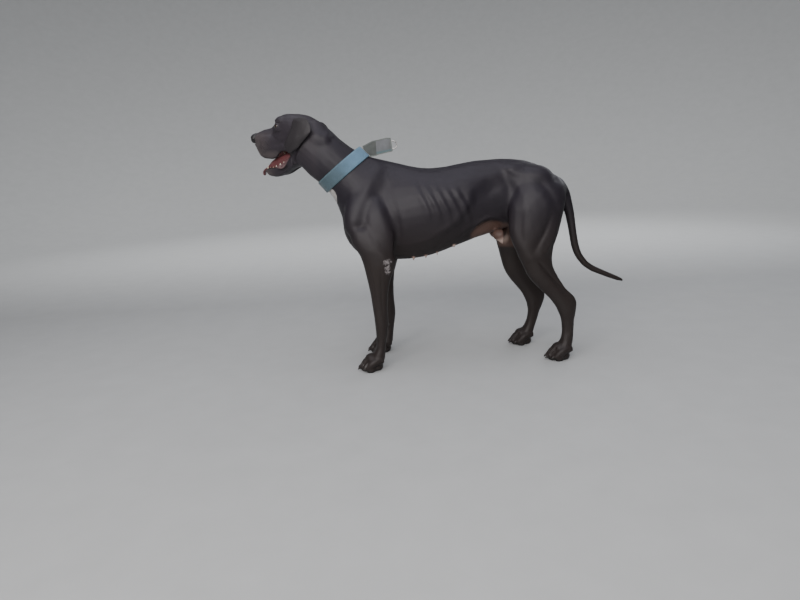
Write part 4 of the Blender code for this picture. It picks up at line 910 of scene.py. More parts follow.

# %% [markdown]
# The short black coat
#
# Her coat is black, but never one black. The upper side carries the sky's blue and violet as a painted
# reflection, the belly and legs are a warm brown-black, the face is painted a little lighter for its
# sheen, and the ears are a little greyer. The hairs are a centimetre long and lie flat, so close up the
# sheen breaks into fine streaks along the lie of the hair, painted as light streaks in the colour, and
# wider waves of it run over the muscles.


# %% Coat and skin
def coat_finish(name, hair):
    """The look of the coat: on the skin with its fine relief, and on the hairs over it."""
    made = Finish(name, Roughness=0.42, Specular_IOR_Level=0.30)
    mask = {key: made.attribute(key) for key in
            ("white", "callus", "frost", "bare", "teat", "pad", "gum", "lip", "ear", "upper", "leg",
             "face")}
    trunk_streaks = made.noise(1.0, 3.0, 0.6, made.scaled((150, 1250, 1250), (0, 0.12, 0)))
    leg_streaks = made.noise(1.0, 3.0, 0.6, made.scaled((1250, 1250, 150)))
    head_streaks = made.noise(1.0, 3.0, 0.6, made.scaled((220, 1500, 1500), (0, 0.25, -HEAD_TURN)))
    streaks = made.number(mask["leg"], trunk_streaks, leg_streaks)
    streaks = made.number(mask["face"], streaks, head_streaks)
    drift = made.noise(7.0, 4.0, 0.6)
    fine = made.noise(60.0, 3.0, 0.6)
    # The bluish colour of the upper side is a painted reflection of the sky
    sky_reflection_top = made.mix(drift, (0.0145, 0.0120, 0.0172), (0.0215, 0.0180, 0.0245))
    low = made.mix(drift, (0.0160, 0.0120, 0.0104), (0.0255, 0.0180, 0.0150))
    colour = made.mix(mask["upper"], low, sky_reflection_top)
    # The face is painted a little lighter: painted sheen, standing in for the light the head catches
    colour = made.mix(mask["face"] * 0.30, colour, (0.060, 0.050, 0.056))
    colour = made.mix(mask["ear"] * 0.7, colour, (0.024, 0.022, 0.022))
    # Light streaks along the lie of the hair are painted sheen
    streak = (streaks - 0.5) * 1.7 + 0.5
    colour = made.mix(streak.clipped(0.3, 0.9) * 0.30, colour, (0.036, 0.032, 0.037))
    speckle = (made.noise(650.0, 2.0, 0.7) * 0.2 + streaks * 0.8).clipped(0.38, 0.64)
    # Grey hairs on the muzzle and chin, and the painted highlight on the front edge of each ear
    colour = made.mix(mask["frost"] * (speckle * 0.50 + 0.15), colour, (0.165, 0.138, 0.126))
    ragged = (mask["white"] + (streaks - 0.5) * 0.5 + (fine - 0.5) * 0.5).clipped(0.40, 0.62)
    colour = made.mix(ragged * 0.92, colour, (0.50, 0.48, 0.46))
    crust = made.noise(140.0, 4.0, 0.65)
    patchy = (mask["callus"] * 0.7 + (crust - 0.5) * 2.4).clipped(0.30, 0.90)
    patchy = patchy * mask["callus"].clipped(0.05, 0.4)
    colour = made.mix(patchy * 0.85, colour, made.mix(crust, (0.17, 0.15, 0.15), (0.42, 0.39, 0.39)))
    thin = (mask["bare"] + (fine - 0.5) * 0.3).clipped(0.25, 0.95)
    colour = made.mix(thin * 0.8, colour, (0.105, 0.062, 0.048))
    teat = made.mix(mask["upper"] * 6, (0.24, 0.135, 0.108), (0.52, 0.39, 0.33))
    colour = made.mix(mask["teat"] * 0.85, colour, teat)
    rough = 0.40 + streaks * 0.16 - mask["upper"] * 0.03 + mask["white"] * 0.1
    if hair:
        return made.feed(Base_Color=colour, Roughness=rough + 0.06)
    wet = made.noise(35.0, 3.0)
    colour = made.mix(mask["pad"], colour, made.mix(fine, (0.010, 0.009, 0.009), (0.030, 0.027, 0.026)))
    colour = made.mix(mask["lip"] * (1 - mask["gum"]), colour, (0.013, 0.010, 0.011))
    gum = made.mix(wet, (0.210, 0.062, 0.062), (0.310, 0.115, 0.108))
    gum = made.mix(made.noise(22.0, 2.0).clipped(0.54, 0.66) * 0.75, gum, (0.030, 0.015, 0.018))
    colour = made.mix(mask["gum"], colour, gum)
    rough = made.number(mask["gum"], made.number(mask["lip"], rough, 0.30), 0.22)
    rough = made.number(mask["pad"], rough, 0.65)
    hairy = 1 - (mask["gum"] + mask["lip"] * 0.8 + mask["pad"]).clipped(0.0, 1.0)
    relief = streaks * hairy + made.noise(230.0, 3.0, 0.6) * (1 - hairy) * 0.8
    relief = relief + made.cells(620.0) * mask["pad"] * 1.2 + patchy * made.noise(500.0) * 0.8
    soft = made.bump(made.noise(30.0, 2.0, 0.5), 0.10, 0.0012)
    normal = made.bump(relief, 0.40, 0.00030, soft)
    return made.feed(Base_Color=colour, Roughness=rough, Normal=normal)


coat = coat_finish("short_coat", False)
for skin, nodes in ((head_skin, HEAD_PARTS), (body_skin, BODY_PARTS)):
    dress(skin, coat, "coat", *nodes)
print("coat laid")

# %% [markdown]
# Eyes
#
# A dog's eye is a ball about 24 mm across, with a clear cornea that stands a little proud in front
# of a dark brown iris. It starts as a sphere whose pole points along the line of sight. The pole's
# rings are pushed out for the cornea, and each point keeps its angle from the line of sight, which
# the finish turns into pupil, iris and the dark edge of the white.


# %% Shape of the eyes
SIDES = ((1, "left"), (-1, "right"))


def aligned(made, origin, forward, upward):
    """Turn a piece that was made round the origin so that its z points forward."""
    forward = unit(forward)
    across = unit(np.cross(upward, forward))
    axes = np.stack([across, np.cross(forward, across), forward])
    set_points(made, points_of(made) @ axes + origin)


wet_eye = Finish("eye", Roughness=0.05, Coat_Weight=1.0, Coat_Roughness=0.02)
angle = wet_eye.attribute("angle")
iris_streaks = wet_eye.noise(900.0, 3.0, 0.7)
iris = wet_eye.mix(iris_streaks, (0.012, 0.005, 0.002), (0.040, 0.017, 0.006))
ball_colour = wet_eye.mix(angle.clipped(0.27, 0.31), (0.002, 0.002, 0.002), iris)
iris_edge = (angle + iris_streaks * 0.05).clipped(0.60, 0.70)
ball_colour = wet_eye.mix(iris_edge, ball_colour, (0.012, 0.006, 0.004))
white = wet_eye.mix(wet_eye.noise(300.0, 4.0, 0.7), (0.34, 0.25, 0.20), (0.20, 0.11, 0.09))
ball_colour = wet_eye.mix((angle + iris_streaks * 0.04).clipped(0.76, 0.84), ball_colour, white)
wet_eye.feed(Base_Color=ball_colour)

BALL_RADIUS, CORNEA = EYE_RADIUS - 0.0001, 0.07
for side, name in SIDES:
    eye = added(name + "_eyeball", bpy.ops.mesh.primitive_uv_sphere_add, segments=40, ring_count=32,
                radius=BALL_RADIUS)
    points = points_of(eye)
    turned = np.arccos(np.clip(points[:, 2] / BALL_RADIUS, -1, 1))
    store(eye, "angle", turned)
    set_points(eye, points * (1 + CORNEA * fade(turned, 0.15, 0.85)[:, None]))
    out, inward, up = gaze(side)
    aligned(eye, eye_at(side), out, up)
    eye.data.shade_smooth()
    dress(eye, wet_eye.made, "eye", name + "_eye")

# %% Wet rims of the lids
rim_skin = Finish("lid_rim", Roughness=0.22, Coat_Weight=0.5, Coat_Roughness=0.1)
rim_colour = rim_skin.mix(rim_skin.noise(260.0, 3.0), (0.006, 0.005, 0.006), (0.022, 0.016, 0.017))
rim_colour = rim_skin.mix(rim_skin.attribute("haw"), rim_colour, (0.20, 0.085, 0.075))
rim_skin.feed(Base_Color=rim_colour, Normal=rim_skin.bump(rim_skin.noise(500.0, 3.0), 0.4, 0.0003))


def rings_round(path, radii, across, over, sides):
    """Rings round a path, each spanned by its two directions."""
    turn = circle(sides)[None, :, None]
    spokes = across[:, None] * np.cos(turn) + over[:, None] * np.sin(turn)
    return path[:, None] + radii[:, None, None] * spokes


def along_path(path, radii, sides):
    """Round sections along a path."""
    ahead = unit(np.gradient(path, axis=0))
    guide = UP if abs(ahead[:, 2]).mean() < 0.8 else LEFT
    across = unit(np.cross(ahead, guide))
    return rings_round(path, radii, across, np.cross(across, ahead), sides)


for side, name in SIDES:
    turns, sides = 64, 10
    rim = added(name + "_lid_rim", bpy.ops.mesh.primitive_torus_add, major_segments=turns,
                minor_segments=sides)
    centre = eye_at(side)
    out, inward, up = gaze(side)
    turn = circle(turns)
    wide, high = almond(turn)
    rays = (np.cos(high) * np.cos(wide))[:, None] * out + (np.cos(high) * np.sin(wide))[:, None] * inward
    rays = unit(rays + np.sin(high)[:, None] * up)
    path = centre + rays * (EYE_RADIUS + 0.0006)
    ahead = unit(np.roll(path, -1, 0) - np.roll(path, 1, 0))
    across = np.cross(ahead, rays)
    thick = 0.00105 + 0.00035 * np.sin(turn)
    set_points(rim, rings_round(path, thick, rays * 0.9, across, sides).reshape(-1, 3))
    haw = step(wide, 0.35, 0.85) * fade(high, 0.0, 0.1)
    store(rim, "haw", np.repeat(haw, sides) * 0.9)
    turn_outward(rim)
    rim.data.shade_smooth()
    dress(rim, rim_skin.made, "coat")
print("eyes in place")

# %% [markdown]
# Nose leather
#
# The nose is one pad of black leather, moist and finely pebbled. Each nostril is a comma: a round
# hole in front that runs back into a slit at the side. A groove divides the pad below. The packed
# part is remeshed finely, and the slits and the groove are pressed into it.

# %% The nose
nose = of_frame("nose")
nose.name = nose.data.name = "nose_leather"
apply(nose, "REMESH", mode="VOXEL", voxel_size=0.0008, adaptivity=0.0)
apply(nose, "SMOOTH", factor=0.5, iterations=5)
nose_tree = tree_of(nose)


def on_nose(line, side):
    """A line moved on to the surface of the nose, on one side."""
    places = [nose_tree.find_nearest(Vector(head_at(s, out * side, z)))[0] for s, out, z in line]
    return in_head(np.array(places))


points = points_of(nose)
for side in (1, -1):
    normals = normals_of(nose)
    local = in_head(points)
    slit = on_nose([(0.2915, 0.0115, 0.8790), (0.2865, 0.0200, 0.8750), (0.2790, 0.0260, 0.8700)], side)
    far, place = distance(local, slit)
    points -= normals * (0.0042 * bell(far, 0.0023) * (1 - place * 0.3))[:, None]
    wing = on_nose([(0.2920, 0.0150, 0.8850), (0.2870, 0.0220, 0.8820), (0.2790, 0.0260, 0.8770)], side)
    far, _ = distance(local, wing)
    points += normals * (0.0007 * bell(far, 0.0028))[:, None]
    set_points(nose, points)
groove = [(0.2960, 0.0, 0.8760), (0.2925, 0.0, 0.8650), (0.2800, 0.0, 0.8570)]
far, _ = distance(in_head(points), groove)
points -= normals_of(nose) * (0.0017 * bell(far, 0.0011))[:, None]
# Where the leather meets the haired skin it rounds off and dips under the hair
local = in_head(points)
rear = fade(local[:, 0] - np.interp(local[:, 2], [0.86, 0.90], [0.2680, 0.2620]), 0.0030, 0.0110)
edge = np.maximum(rear, fade(local[:, 2], 0.8570, 0.8640))
points -= normals_of(nose) * (0.0026 * edge)[:, None] + FORWARD * (0.0030 * rear)[:, None]
set_points(nose, points)
nose.data.shade_smooth()
leather = Finish("nose_leather", Roughness=0.42, Coat_Weight=0.12, Coat_Roughness=0.3)
pebbles = leather.cells(780.0, "F1")
dry = leather.noise(120.0, 4.0, 0.6)
leather_colour = leather.mix(dry, (0.0050, 0.0045, 0.0050), (0.0150, 0.0130, 0.0138))
leather.feed(Base_Color=leather_colour, Roughness=dry * 0.22 + 0.34,
             Normal=leather.bump(pebbles, 0.5, 0.0004))
dress(nose, leather.made, "nose_leather", "nose")
print("nose", triangles(nose), "triangles")

# %% [markdown]
# Tongue and teeth
#
# The tongue fills the floor of the open mouth, and its tip curls down over the lower front teeth.
# It is a flattened tube with a groove down the middle and a fine nap of papillae. Each tooth is
# one cone or a row of cusps, ivory at the tip and yellower by the gum.

# %% The tongue
# Sections from root to tip: forward, height of the middle, half width, half thickness
TONGUE = [
    (0.0980, 0.8000, 0.0180, 0.0090), (0.1150, 0.8040, 0.0240, 0.0125), (0.1300, 0.8045, 0.0245, 0.0150),
    (0.1480, 0.7980, 0.0235, 0.0188), (0.1700, 0.7910, 0.0203, 0.0202), (0.1900, 0.7845, 0.0178, 0.0202),
    (0.2060, 0.7790, 0.0155, 0.0172), (0.2180, 0.7740, 0.0137, 0.0132), (0.2300, 0.7685, 0.0117, 0.0083),
    (0.2410, 0.7645, 0.0102, 0.0053), (0.2500, 0.7608, 0.0108, 0.0044), (0.2560, 0.7535, 0.0108, 0.0042),
    (0.2575, 0.7462, 0.0096, 0.0038), (0.2578, 0.7418, 0.0066, 0.0028), (0.2579, 0.7400, 0.0014, 0.0008)]


def loft(name, sections):
    """A sphere whose rings of points are moved to these sections, with a pole at each end."""
    count, around = sections.shape[:2]
    made = added(name, bpy.ops.mesh.primitive_uv_sphere_add, segments=around, ring_count=count + 1)
    x, y, z = points_of(made).T
    ring = np.rint(np.arccos(np.clip(z, -1, 1)) / math.pi * (count + 1)).astype(int) - 1
    turn = np.rint(np.arctan2(y, x) / (2 * math.pi) * around).astype(int) % around
    places = sections[np.clip(ring, 0, count - 1), turn]
    places[ring == -1] = sections[0].mean(axis=0)
    places[ring == count] = sections[-1].mean(axis=0)
    set_points(made, places)
    return made


sides = 40
path = along(TONGUE, 8)
share = np.linspace(0, 1, len(path))
around = circle(sides)
rings = []
for (s, z, half, deep), t in zip(path, share):
    i = int(round(t * (len(path) - 1)))
    ahead = path[min(i + 1, len(path) - 1)] - path[max(i - 1, 0)]
    tilt = unit(np.array([ahead[0], ahead[1]]))
    normal = np.array([-tilt[1], tilt[0]])
    lift = np.sin(around)
    groove = -0.26 * np.exp(-((np.cos(around) / 0.16) ** 2)) * (lift > 0)
    root = 0.6 * step(s, 0.120, 0.150) * fade(s, 0.205, 0.225) * (lift < 0)
    thick = deep * (lift * (0.96 + groove + root))
    wide = half * np.sign(np.cos(around)) * np.abs(np.cos(around)) ** 0.85
    rings.append([head_at(s + normal[0] * a, b, z + normal[1] * a) for a, b in zip(thick, wide)])
tongue = loft("tongue_flesh", np.array(rings)[:, ::-1])
flesh = Finish("tongue", Roughness=0.30, Coat_Weight=0.25, Coat_Roughness=0.2)
nap = flesh.cells(900.0)
vein = flesh.noise(45.0, 4.0, 0.6)
front = flesh.attribute("front")
# The tongue's pinks are partly its own colour and partly painted shade of the open mouth, darker than a
# tongue in full light
flesh_colour = flesh.mix(vein, (0.108, 0.034, 0.037), (0.175, 0.062, 0.064))
flesh_colour = flesh.mix(front * 0.85, flesh_colour, (0.085, 0.024, 0.027))
flesh.feed(Base_Color=flesh_colour, Roughness=nap * 0.2 + 0.20, Normal=flesh.bump(nap, 0.5, 0.0004))
store(tongue, "front", step(in_head(points_of(tongue))[:, 0], 0.215, 0.255))
tongue.data.shade_smooth()
dress(tongue, flesh.made, "tongue", "tongue")
print("tongue", triangles(tongue), "triangles")

# %% [markdown]
# Turned-out lip
#
# A panting hound's lower lip sags beside the back teeth and turns its wet, grey-pink lining out. It
# is a flat roll of skin, widest in its middle, that sinks into the jaw along its edges and at both
# ends.

# %% Lining of the lip
# The roll from the corner of the mouth forward: forward, out, height, half width
LINING = [
    (0.1180, 0.0385, 0.7985, 0.0008), (0.1280, 0.0372, 0.7880, 0.0050), (0.1400, 0.0352, 0.7780, 0.0080),
    (0.1540, 0.0322, 0.7705, 0.0092), (0.1680, 0.0292, 0.7680, 0.0074), (0.1820, 0.0264, 0.7680, 0.0040),
    (0.1900, 0.0248, 0.7680, 0.0008)]
path = along(LINING, 8)
made = []
for side in (1, -1):
    centre = np.array([head_at(s, out * side, z) for s, out, z, wide in path])
    rings = along_path(centre, path[:, 3], 24)
    offset = rings - centre[:, None]
    offset -= 0.52 * (offset @ LEFT)[..., None] * LEFT
    made.append(loft("lining", centre[:, None] + offset))
lining = joined(made, "lip_lining")
s, z = in_head(points_of(lining))[:, [0, 2]].T
widest = path[:, 3].max()
low = np.clip((np.interp(s, path[:, 0], path[:, 2]) - z) / widest, 0, 1)
thin = 1 - np.interp(s, path[:, 0], path[:, 3]) / widest
store(lining, "edge", np.maximum(low, thin) ** 2)
lining.data.shade_smooth()
inside = Finish("lip_lining", Roughness=0.26, Coat_Weight=0.3, Coat_Roughness=0.15)
mottle = inside.noise(60.0, 4.0, 0.6)
inside_colour = inside.mix(mottle.clipped(0.3, 0.7), (0.110, 0.062, 0.065), (0.205, 0.130, 0.132))
dark = inside.noise(90.0, 3.0).clipped(0.50, 0.66) * 0.6
inside_colour = inside.mix(dark, inside_colour, (0.034, 0.022, 0.025))
edge = inside.attribute("edge").clipped(0.35, 0.95)
inside_colour = inside.mix(edge, inside_colour, (0.016, 0.012, 0.013))
inside.feed(Base_Color=inside_colour, Normal=inside.bump(inside.noise(160.0, 3.0, 0.6), 0.35, 0.0006))
dress(lining, inside.made, "coat")
print("lip lining", triangles(lining), "triangles")

# %% The teeth
def cusp(s, out, gum, tip, long, wide, curve):
    """One cone of enamel, bent backwards by curve."""
    rings = []
    turn = circle(14)
    up = np.sign(tip - gum)
    for t in np.linspace(-0.55, 1, 12):
        taper = (1 - t**1.7) * 0.94 + 0.06 if t >= 0 else 1 + t * 0.35
        ring = [head_at(s - curve * max(t, 0) ** 2 + long * taper * math.cos(a),
                        out + wide * taper * math.sin(a), gum + (tip - gum) * t) for a in turn]
        rings.append(ring[::-1] if up > 0 else ring)
    return loft("cusp", np.array(rings))


made = []
for rows in (UPPER_TEETH, LOWER_TEETH):
    for kind, teeth in rows.items():
        for s, out, gum, tip, long, wide in teeth:
            for side in (1, -1):
                rise = tip - gum
                if kind == "canine":
                    made.append(cusp(s, out * side, gum, tip, long, wide, 0.0035))
                elif kind == "incisor":
                    for shift, size in ((0.0, 0.9), (0.0052, 1.0)):
                        made.append(cusp(s - shift * 0.7, (out - 0.0032 + shift) * side, gum,
                                         gum + rise * 0.8 * size, 0.0021, 0.0024, 0.0006))
                else:
                    made.append(cusp(s, out * side, gum, tip, long * 0.66, wide, 0.0012))
                    for end in (1, -1):
                        made.append(cusp(s + end * long * 0.55, out * side, gum, gum + rise * 0.52,
                                         long * 0.45, wide * 0.9, 0.0004))
# The four small front teeth of the lower jaw that show beside the tongue
for side in (1, -1):
    for out in (0.0025, 0.0070):
        made.append(cusp(0.2400 - out * 0.35, out * side, 0.7600, 0.7690, 0.0019, 0.0021, 0.0002))
teeth = joined(made, "teeth_enamel")
store(teeth, "reach", np.abs(in_head(points_of(teeth))[:, 2] - 0.7955))
teeth.data.shade_smooth()
enamel = Finish("enamel", Roughness=0.18, Coat_Weight=0.5, Coat_Roughness=0.08)
stain = enamel.noise(300.0, 3.0) * 0.5 + (enamel.attribute("reach") * 60.0 - 0.9)
enamel.feed(Base_Color=enamel.mix(stain.clipped(0.4, 1.6), (0.66, 0.60, 0.48), (0.38, 0.27, 0.15)))
dress(teeth, enamel.made, "coat")
print("teeth:", len(made))

# %% [markdown]
# Claws
#
# Four claws stand out in front of each foot, black, blunt and a little curved. A small dewclaw sits on
# the inside of each front pastern.


# %% Shape of the claws
def claw(path, radii):
    """A bent horn whose back is a ridge."""
    path = along(np.array(path), 5)
    radii = np.interp(np.linspace(0, 1, len(path)), np.linspace(0, 1, len(radii)), radii)
    rings = along_path(path, radii, 14)
    centre = path[:, None]
    rings = centre + (rings - centre) * (1, 0.82, 1.0)
    return loft("claw", rings)


made = []
for heel, y, length, half in FEET:
    for spread, back in ((-0.80, 0.019), (-0.28, 0.0), (0.28, 0.0), (0.80, 0.019)):
        tip = heel - length + 0.010 + back
        at = y + spread * half
        made.append(claw([body_at(tip + 0.010, at, 0.0200), body_at(tip + 0.001, at, 0.0186),
                          body_at(tip - 0.0065, at, 0.0142), body_at(tip - 0.0112, at, 0.0084)],
                         [0.0052, 0.0053, 0.0040, 0.0014]))
for x, y in ((-0.083, -0.0860), (-0.053, 0.0860)):
    made.append(claw([body_at(x + 0.006, y * 1.02, 0.124), body_at(x + 0.001, y * 0.975, 0.119),
                      body_at(x - 0.003, y * 0.965, 0.112)], [0.0040, 0.0036, 0.0012]))
claws = joined(made, "claws")
claws.data.shade_smooth()
horn = Finish("horn", Roughness=0.30)
rings = horn.noise(1.0, 3.0, 0.6, horn.scaled((500, 1400, 500)))
horn.feed(Base_Color=horn.mix(rings, (0.010, 0.009, 0.009), (0.045, 0.038, 0.034)),
          Roughness=rings * 0.3 + 0.2, Normal=horn.bump(rings, 0.4, 0.0003))
dress(claws, horn.made, "coat")
print("claws:", len(made))

# %% [markdown]
# The collar
#
# A broad band of teal webbing goes once round the neck. A padded grey-green panel with bound edges
# is sewn on at the crest and carries the ring. The webbing is woven in fine ribs across its width
# and two rows of stitches run along each edge.


# %% The band
def skin_tree(*nodes):
    """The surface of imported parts, for finding places on them."""
    copies = [of_frame(node) for node in nodes]
    made = joined(copies, "surface") if len(copies) > 1 else copies[0]
    tree = tree_of(made)
    bpy.data.objects.remove(made)
    return tree


BAND_WIDTH, BAND_THICKNESS = 0.050, 0.0045
# Rays towards the band start from this far outside the neck
OUTSIDE = 0.30
band_tree = skin_tree("collar")
middle = (COLLAR_TOP + COLLAR_FOOT) / 2
turns, face_points = 240, 17
across_share = np.linspace(-1, 1, face_points)
across_share = np.concatenate([across_share, -across_share])
lift = np.repeat([1.0, 0.0], face_points)
edge = bell(1 - np.abs(across_share), 0.055)
height = np.where(lift > 0.5, 1.0 - 0.35 * edge, 0.35 * edge)
band = added("collar_band", bpy.ops.mesh.primitive_torus_add, major_segments=turns,
             minor_segments=2 * face_points)
rings = []
for turn in circle(turns):
    out = STRAP_WAY * math.cos(turn) + np.array([0, -math.sin(turn), 0])
    reach = []
    for share in (-0.9, 0.9):
        origin = middle + NECK_WAY * share * BAND_WIDTH / 2 + out * OUTSIDE
        hit = band_tree.ray_cast(Vector(origin), Vector(-out))[0]
        reach.append(norm(np.array(hit) - origin + out * OUTSIDE))
    outer = np.interp(across_share, [-1, 1], reach)
    radius = outer - BAND_THICKNESS * (1 - height) - 0.0003
    along_neck = across_share * (BAND_WIDTH / 2 - 0.0006)
    rings.append(middle + NECK_WAY * along_neck[:, None] + out * radius[:, None])
rings = np.array(rings)
rings = (np.roll(rings, 1, 0) + rings * 2 + np.roll(rings, -1, 0)) / 4
set_points(band, rings.reshape(-1, 3))
turn_outward(band)
round_way = np.repeat(circle(turns), 2 * face_points)
store(band, "across", np.tile(across_share, turns))
store(band, "sine", np.sin(round_way))
store(band, "cosine", np.cos(round_way))
band.data.shade_smooth()

# %% Weave of the band
teal = Finish("webbing", Roughness=0.60, Sheen_Weight=0.2, Sheen_Roughness=0.4)
across = teal.attribute("across")
cosine, sine = teal.attribute("cosine"), teal.attribute("sine")
angle = teal.node("ShaderNodeMath", {"operation": "ARCTAN2"}, {0: sine, 1: cosine})
rib = (angle * 380.0 + (across * 60.0).wave() * 1.6).wave()
threads = (across * 95.0).wave()
from_edge = 1 - across.absolute()
stitch_row = (0.022 - (from_edge - 0.13).absolute()).clipped(0.0, 0.010)
stitch = stitch_row * (angle * 170.0).wave().clipped(0.35, 0.55)
binding = (0.085 - from_edge).clipped(0.0, 0.02)
worn = teal.noise(60.0, 5.0, 0.65)
# Darker towards the bottom of the band: painted shade on its underside, with dirt in the noise
shade_and_dirt = (teal.noise(18.0, 4.0, 0.6) * 0.5 - cosine * 0.45).clipped(-0.15, 0.60)
teal_colour = teal.mix(worn, (0.068, 0.142, 0.215), (0.148, 0.268, 0.400))
teal_colour = teal.mix(shade_and_dirt * 0.95, teal_colour, (0.036, 0.060, 0.074))
teal_colour = teal.mix(rib * threads * 0.35, teal_colour, (0.26, 0.44, 0.49))
teal_colour = teal.mix(binding * 0.5, teal_colour, (0.040, 0.110, 0.135))
teal_colour = teal.mix(stitch * 0.8, teal_colour, (0.22, 0.33, 0.35))
weave = rib * 0.6 + threads * 0.4 + stitch * 0.9 - stitch_row * 0.5
teal.feed(Base_Color=teal_colour, Roughness=0.55 + worn * 0.2, Normal=teal.bump(weave, 0.6, 0.0006))
dress(band, teal.made, "collar_webbing", "collar")
print("band", triangles(band), "triangles")

# %% The panel
# The outline of the panel seen from the side
TAB = [
    (-0.1030, 0.8260), (-0.1010, 0.7960), (-0.0870, 0.7850), (-0.0560, 0.7880), (-0.0510, 0.7910),
    (0.0060, 0.8010), (0.0010, 0.8490), (-0.0160, 0.8500), (-0.0690, 0.8410)]
# How far the seam lies inside the rim, and where along the body the strap ends
SEAM_PLACE, STRAP_SEAM = 0.0052, -0.0540
tab = of_frame("collar_tab")
tab.name = tab.data.name = "collar_panel"
apply(tab, "REMESH", mode="VOXEL", voxel_size=0.0010, adaptivity=0.0)
apply(tab, "SMOOTH", factor=0.5, iterations=6)
points, normals = points_of(tab), normals_of(tab)
flat = in_body(points)[:, [0, 2]]
rim_line = np.array(TAB + TAB[:1])
far = np.full(len(points), 1e9)
for line in zip(rim_line[:-1], rim_line[1:]):
    far = np.minimum(far, distance(flat, line)[0])
flank = step(np.abs(normals[:, 1]), 0.3, 0.9)
cushion = 0.0006 * step(far, 0.005, 0.020) - 0.0011 * bell(far - SEAM_PLACE, 0.0011)
ripple = 0.0004 * np.sin(flat[:, 0] * 260 + flat[:, 1] * 90)
ripple -= 0.0008 * bell(flat[:, 0] - STRAP_SEAM, 0.0012)
points += normals * ((cushion + ripple - 0.0006) * flank)[:, None]
set_points(tab, points)
store(tab, "from_rim", far)
tab.data.shade_smooth()

# %% Canvas of the panel
canvas = Finish("canvas", Roughness=0.8, Sheen_Weight=0.2)
rim_far = canvas.attribute("from_rim") * 1000.0
threads = canvas.bands("X", 300.0, 0.6) + canvas.bands("Z", 300.0, 0.6)
lengthways, height = (canvas.node("ShaderNodeSeparateXYZ", {}, {"Vector": canvas.place}, axis)
                      - float(SHIFT[axis]) for axis in (0, 2))
blotch = canvas.noise(45.0, 4.0, 0.6)
near_strap = canvas.mix(blotch, (0.042, 0.050, 0.047), (0.115, 0.125, 0.118))
panel = canvas.mix(blotch, (0.105, 0.113, 0.118), (0.195, 0.202, 0.212))
foot = (lengthways * 0.14 + 0.8140 - height).clipped(0.0, 0.010)
panel = canvas.mix(foot * 0.8, panel, (0.090, 0.165, 0.175))
cloth = canvas.mix((lengthways + 0.0545).clipped(0.0, 0.0015), near_strap, panel)
cloth = canvas.mix(canvas.noise(16.0, 3.0).clipped(0.5, 0.7) * 0.4, cloth, (0.080, 0.078, 0.066))
bound = (4.2 - rim_far).clipped(0.0, 0.6)
tape = canvas.mix(canvas.noise(90.0), (0.085, 0.105, 0.100), (0.190, 0.205, 0.185))
cloth = canvas.mix(bound, cloth, tape)
seam = (0.45 - (rim_far - 3.2).absolute()).clipped(0.0, 0.2)
dash = canvas.bands("DIAGONAL", 105.0)
cloth = canvas.mix(seam * dash.clipped(0.3, 0.6) * 0.6, cloth, (0.26, 0.29, 0.28))
relief = threads * 0.5 + seam * 0.8
canvas.feed(Base_Color=cloth, Normal=canvas.bump(relief, 0.5, 0.0004))
dress(tab, canvas.made, "collar_tab", "collar_tab")
print("panel", triangles(tab), "triangles")

# %% The ring
steel = Finish("steel", Metallic=1.0, Roughness=0.3)
scratch = steel.noise(1.0, 5.0, 0.7, steel.scaled((240, 900, 240)))
steel_colour = steel.mix(scratch, (0.30, 0.29, 0.28), (0.56, 0.55, 0.53))
steel.feed(Base_Color=steel_colour, Roughness=scratch * 0.25 + 0.18,
           Normal=steel.bump(scratch, 0.2, 0.0002))
RING_RADIUS, WIRE_RADIUS = 0.0140, 0.0021
ring = added("steel_ring", bpy.ops.mesh.primitive_torus_add, major_radius=RING_RADIUS,
             minor_radius=WIRE_RADIUS, major_segments=72, minor_segments=20,
             location=body_at(*RING_PLACE), rotation=(math.pi / 2, 0, 0))
bpy.ops.object.transform_apply(location=True, rotation=True, scale=True)
points = points_of(ring)
weld_place = body_at(RING_PLACE[0] - RING_RADIUS, 0, RING_PLACE[2])
weld = bell(norm((points - weld_place) / (0.02, 0.02, 0.0012)), 1)
set_points(ring, points - normals_of(ring) * (0.0003 * weld)[:, None])
ring.data.shade_smooth()
dress(ring, steel.made, "collar_ring", "collar_ring")
print("collar done")

# %% [markdown]
# Hairs that break the outline
#
# A smooth coat is mostly sheen, and small tufts lie on every side of it. They are thickest along the
# back, the backs of the thighs, the belly and the tail, where they break the edge of the form, and
# smallest on the face and the feet. Each tuft is a thin solid blade of a few hairs. It grows out of
# the skin, lies along the body in the direction in which the coat is stroked, follows the skin to
# its tip and overlaps the next. The lie comes from a short list of guides: a place and a direction,
# between which it is blended.

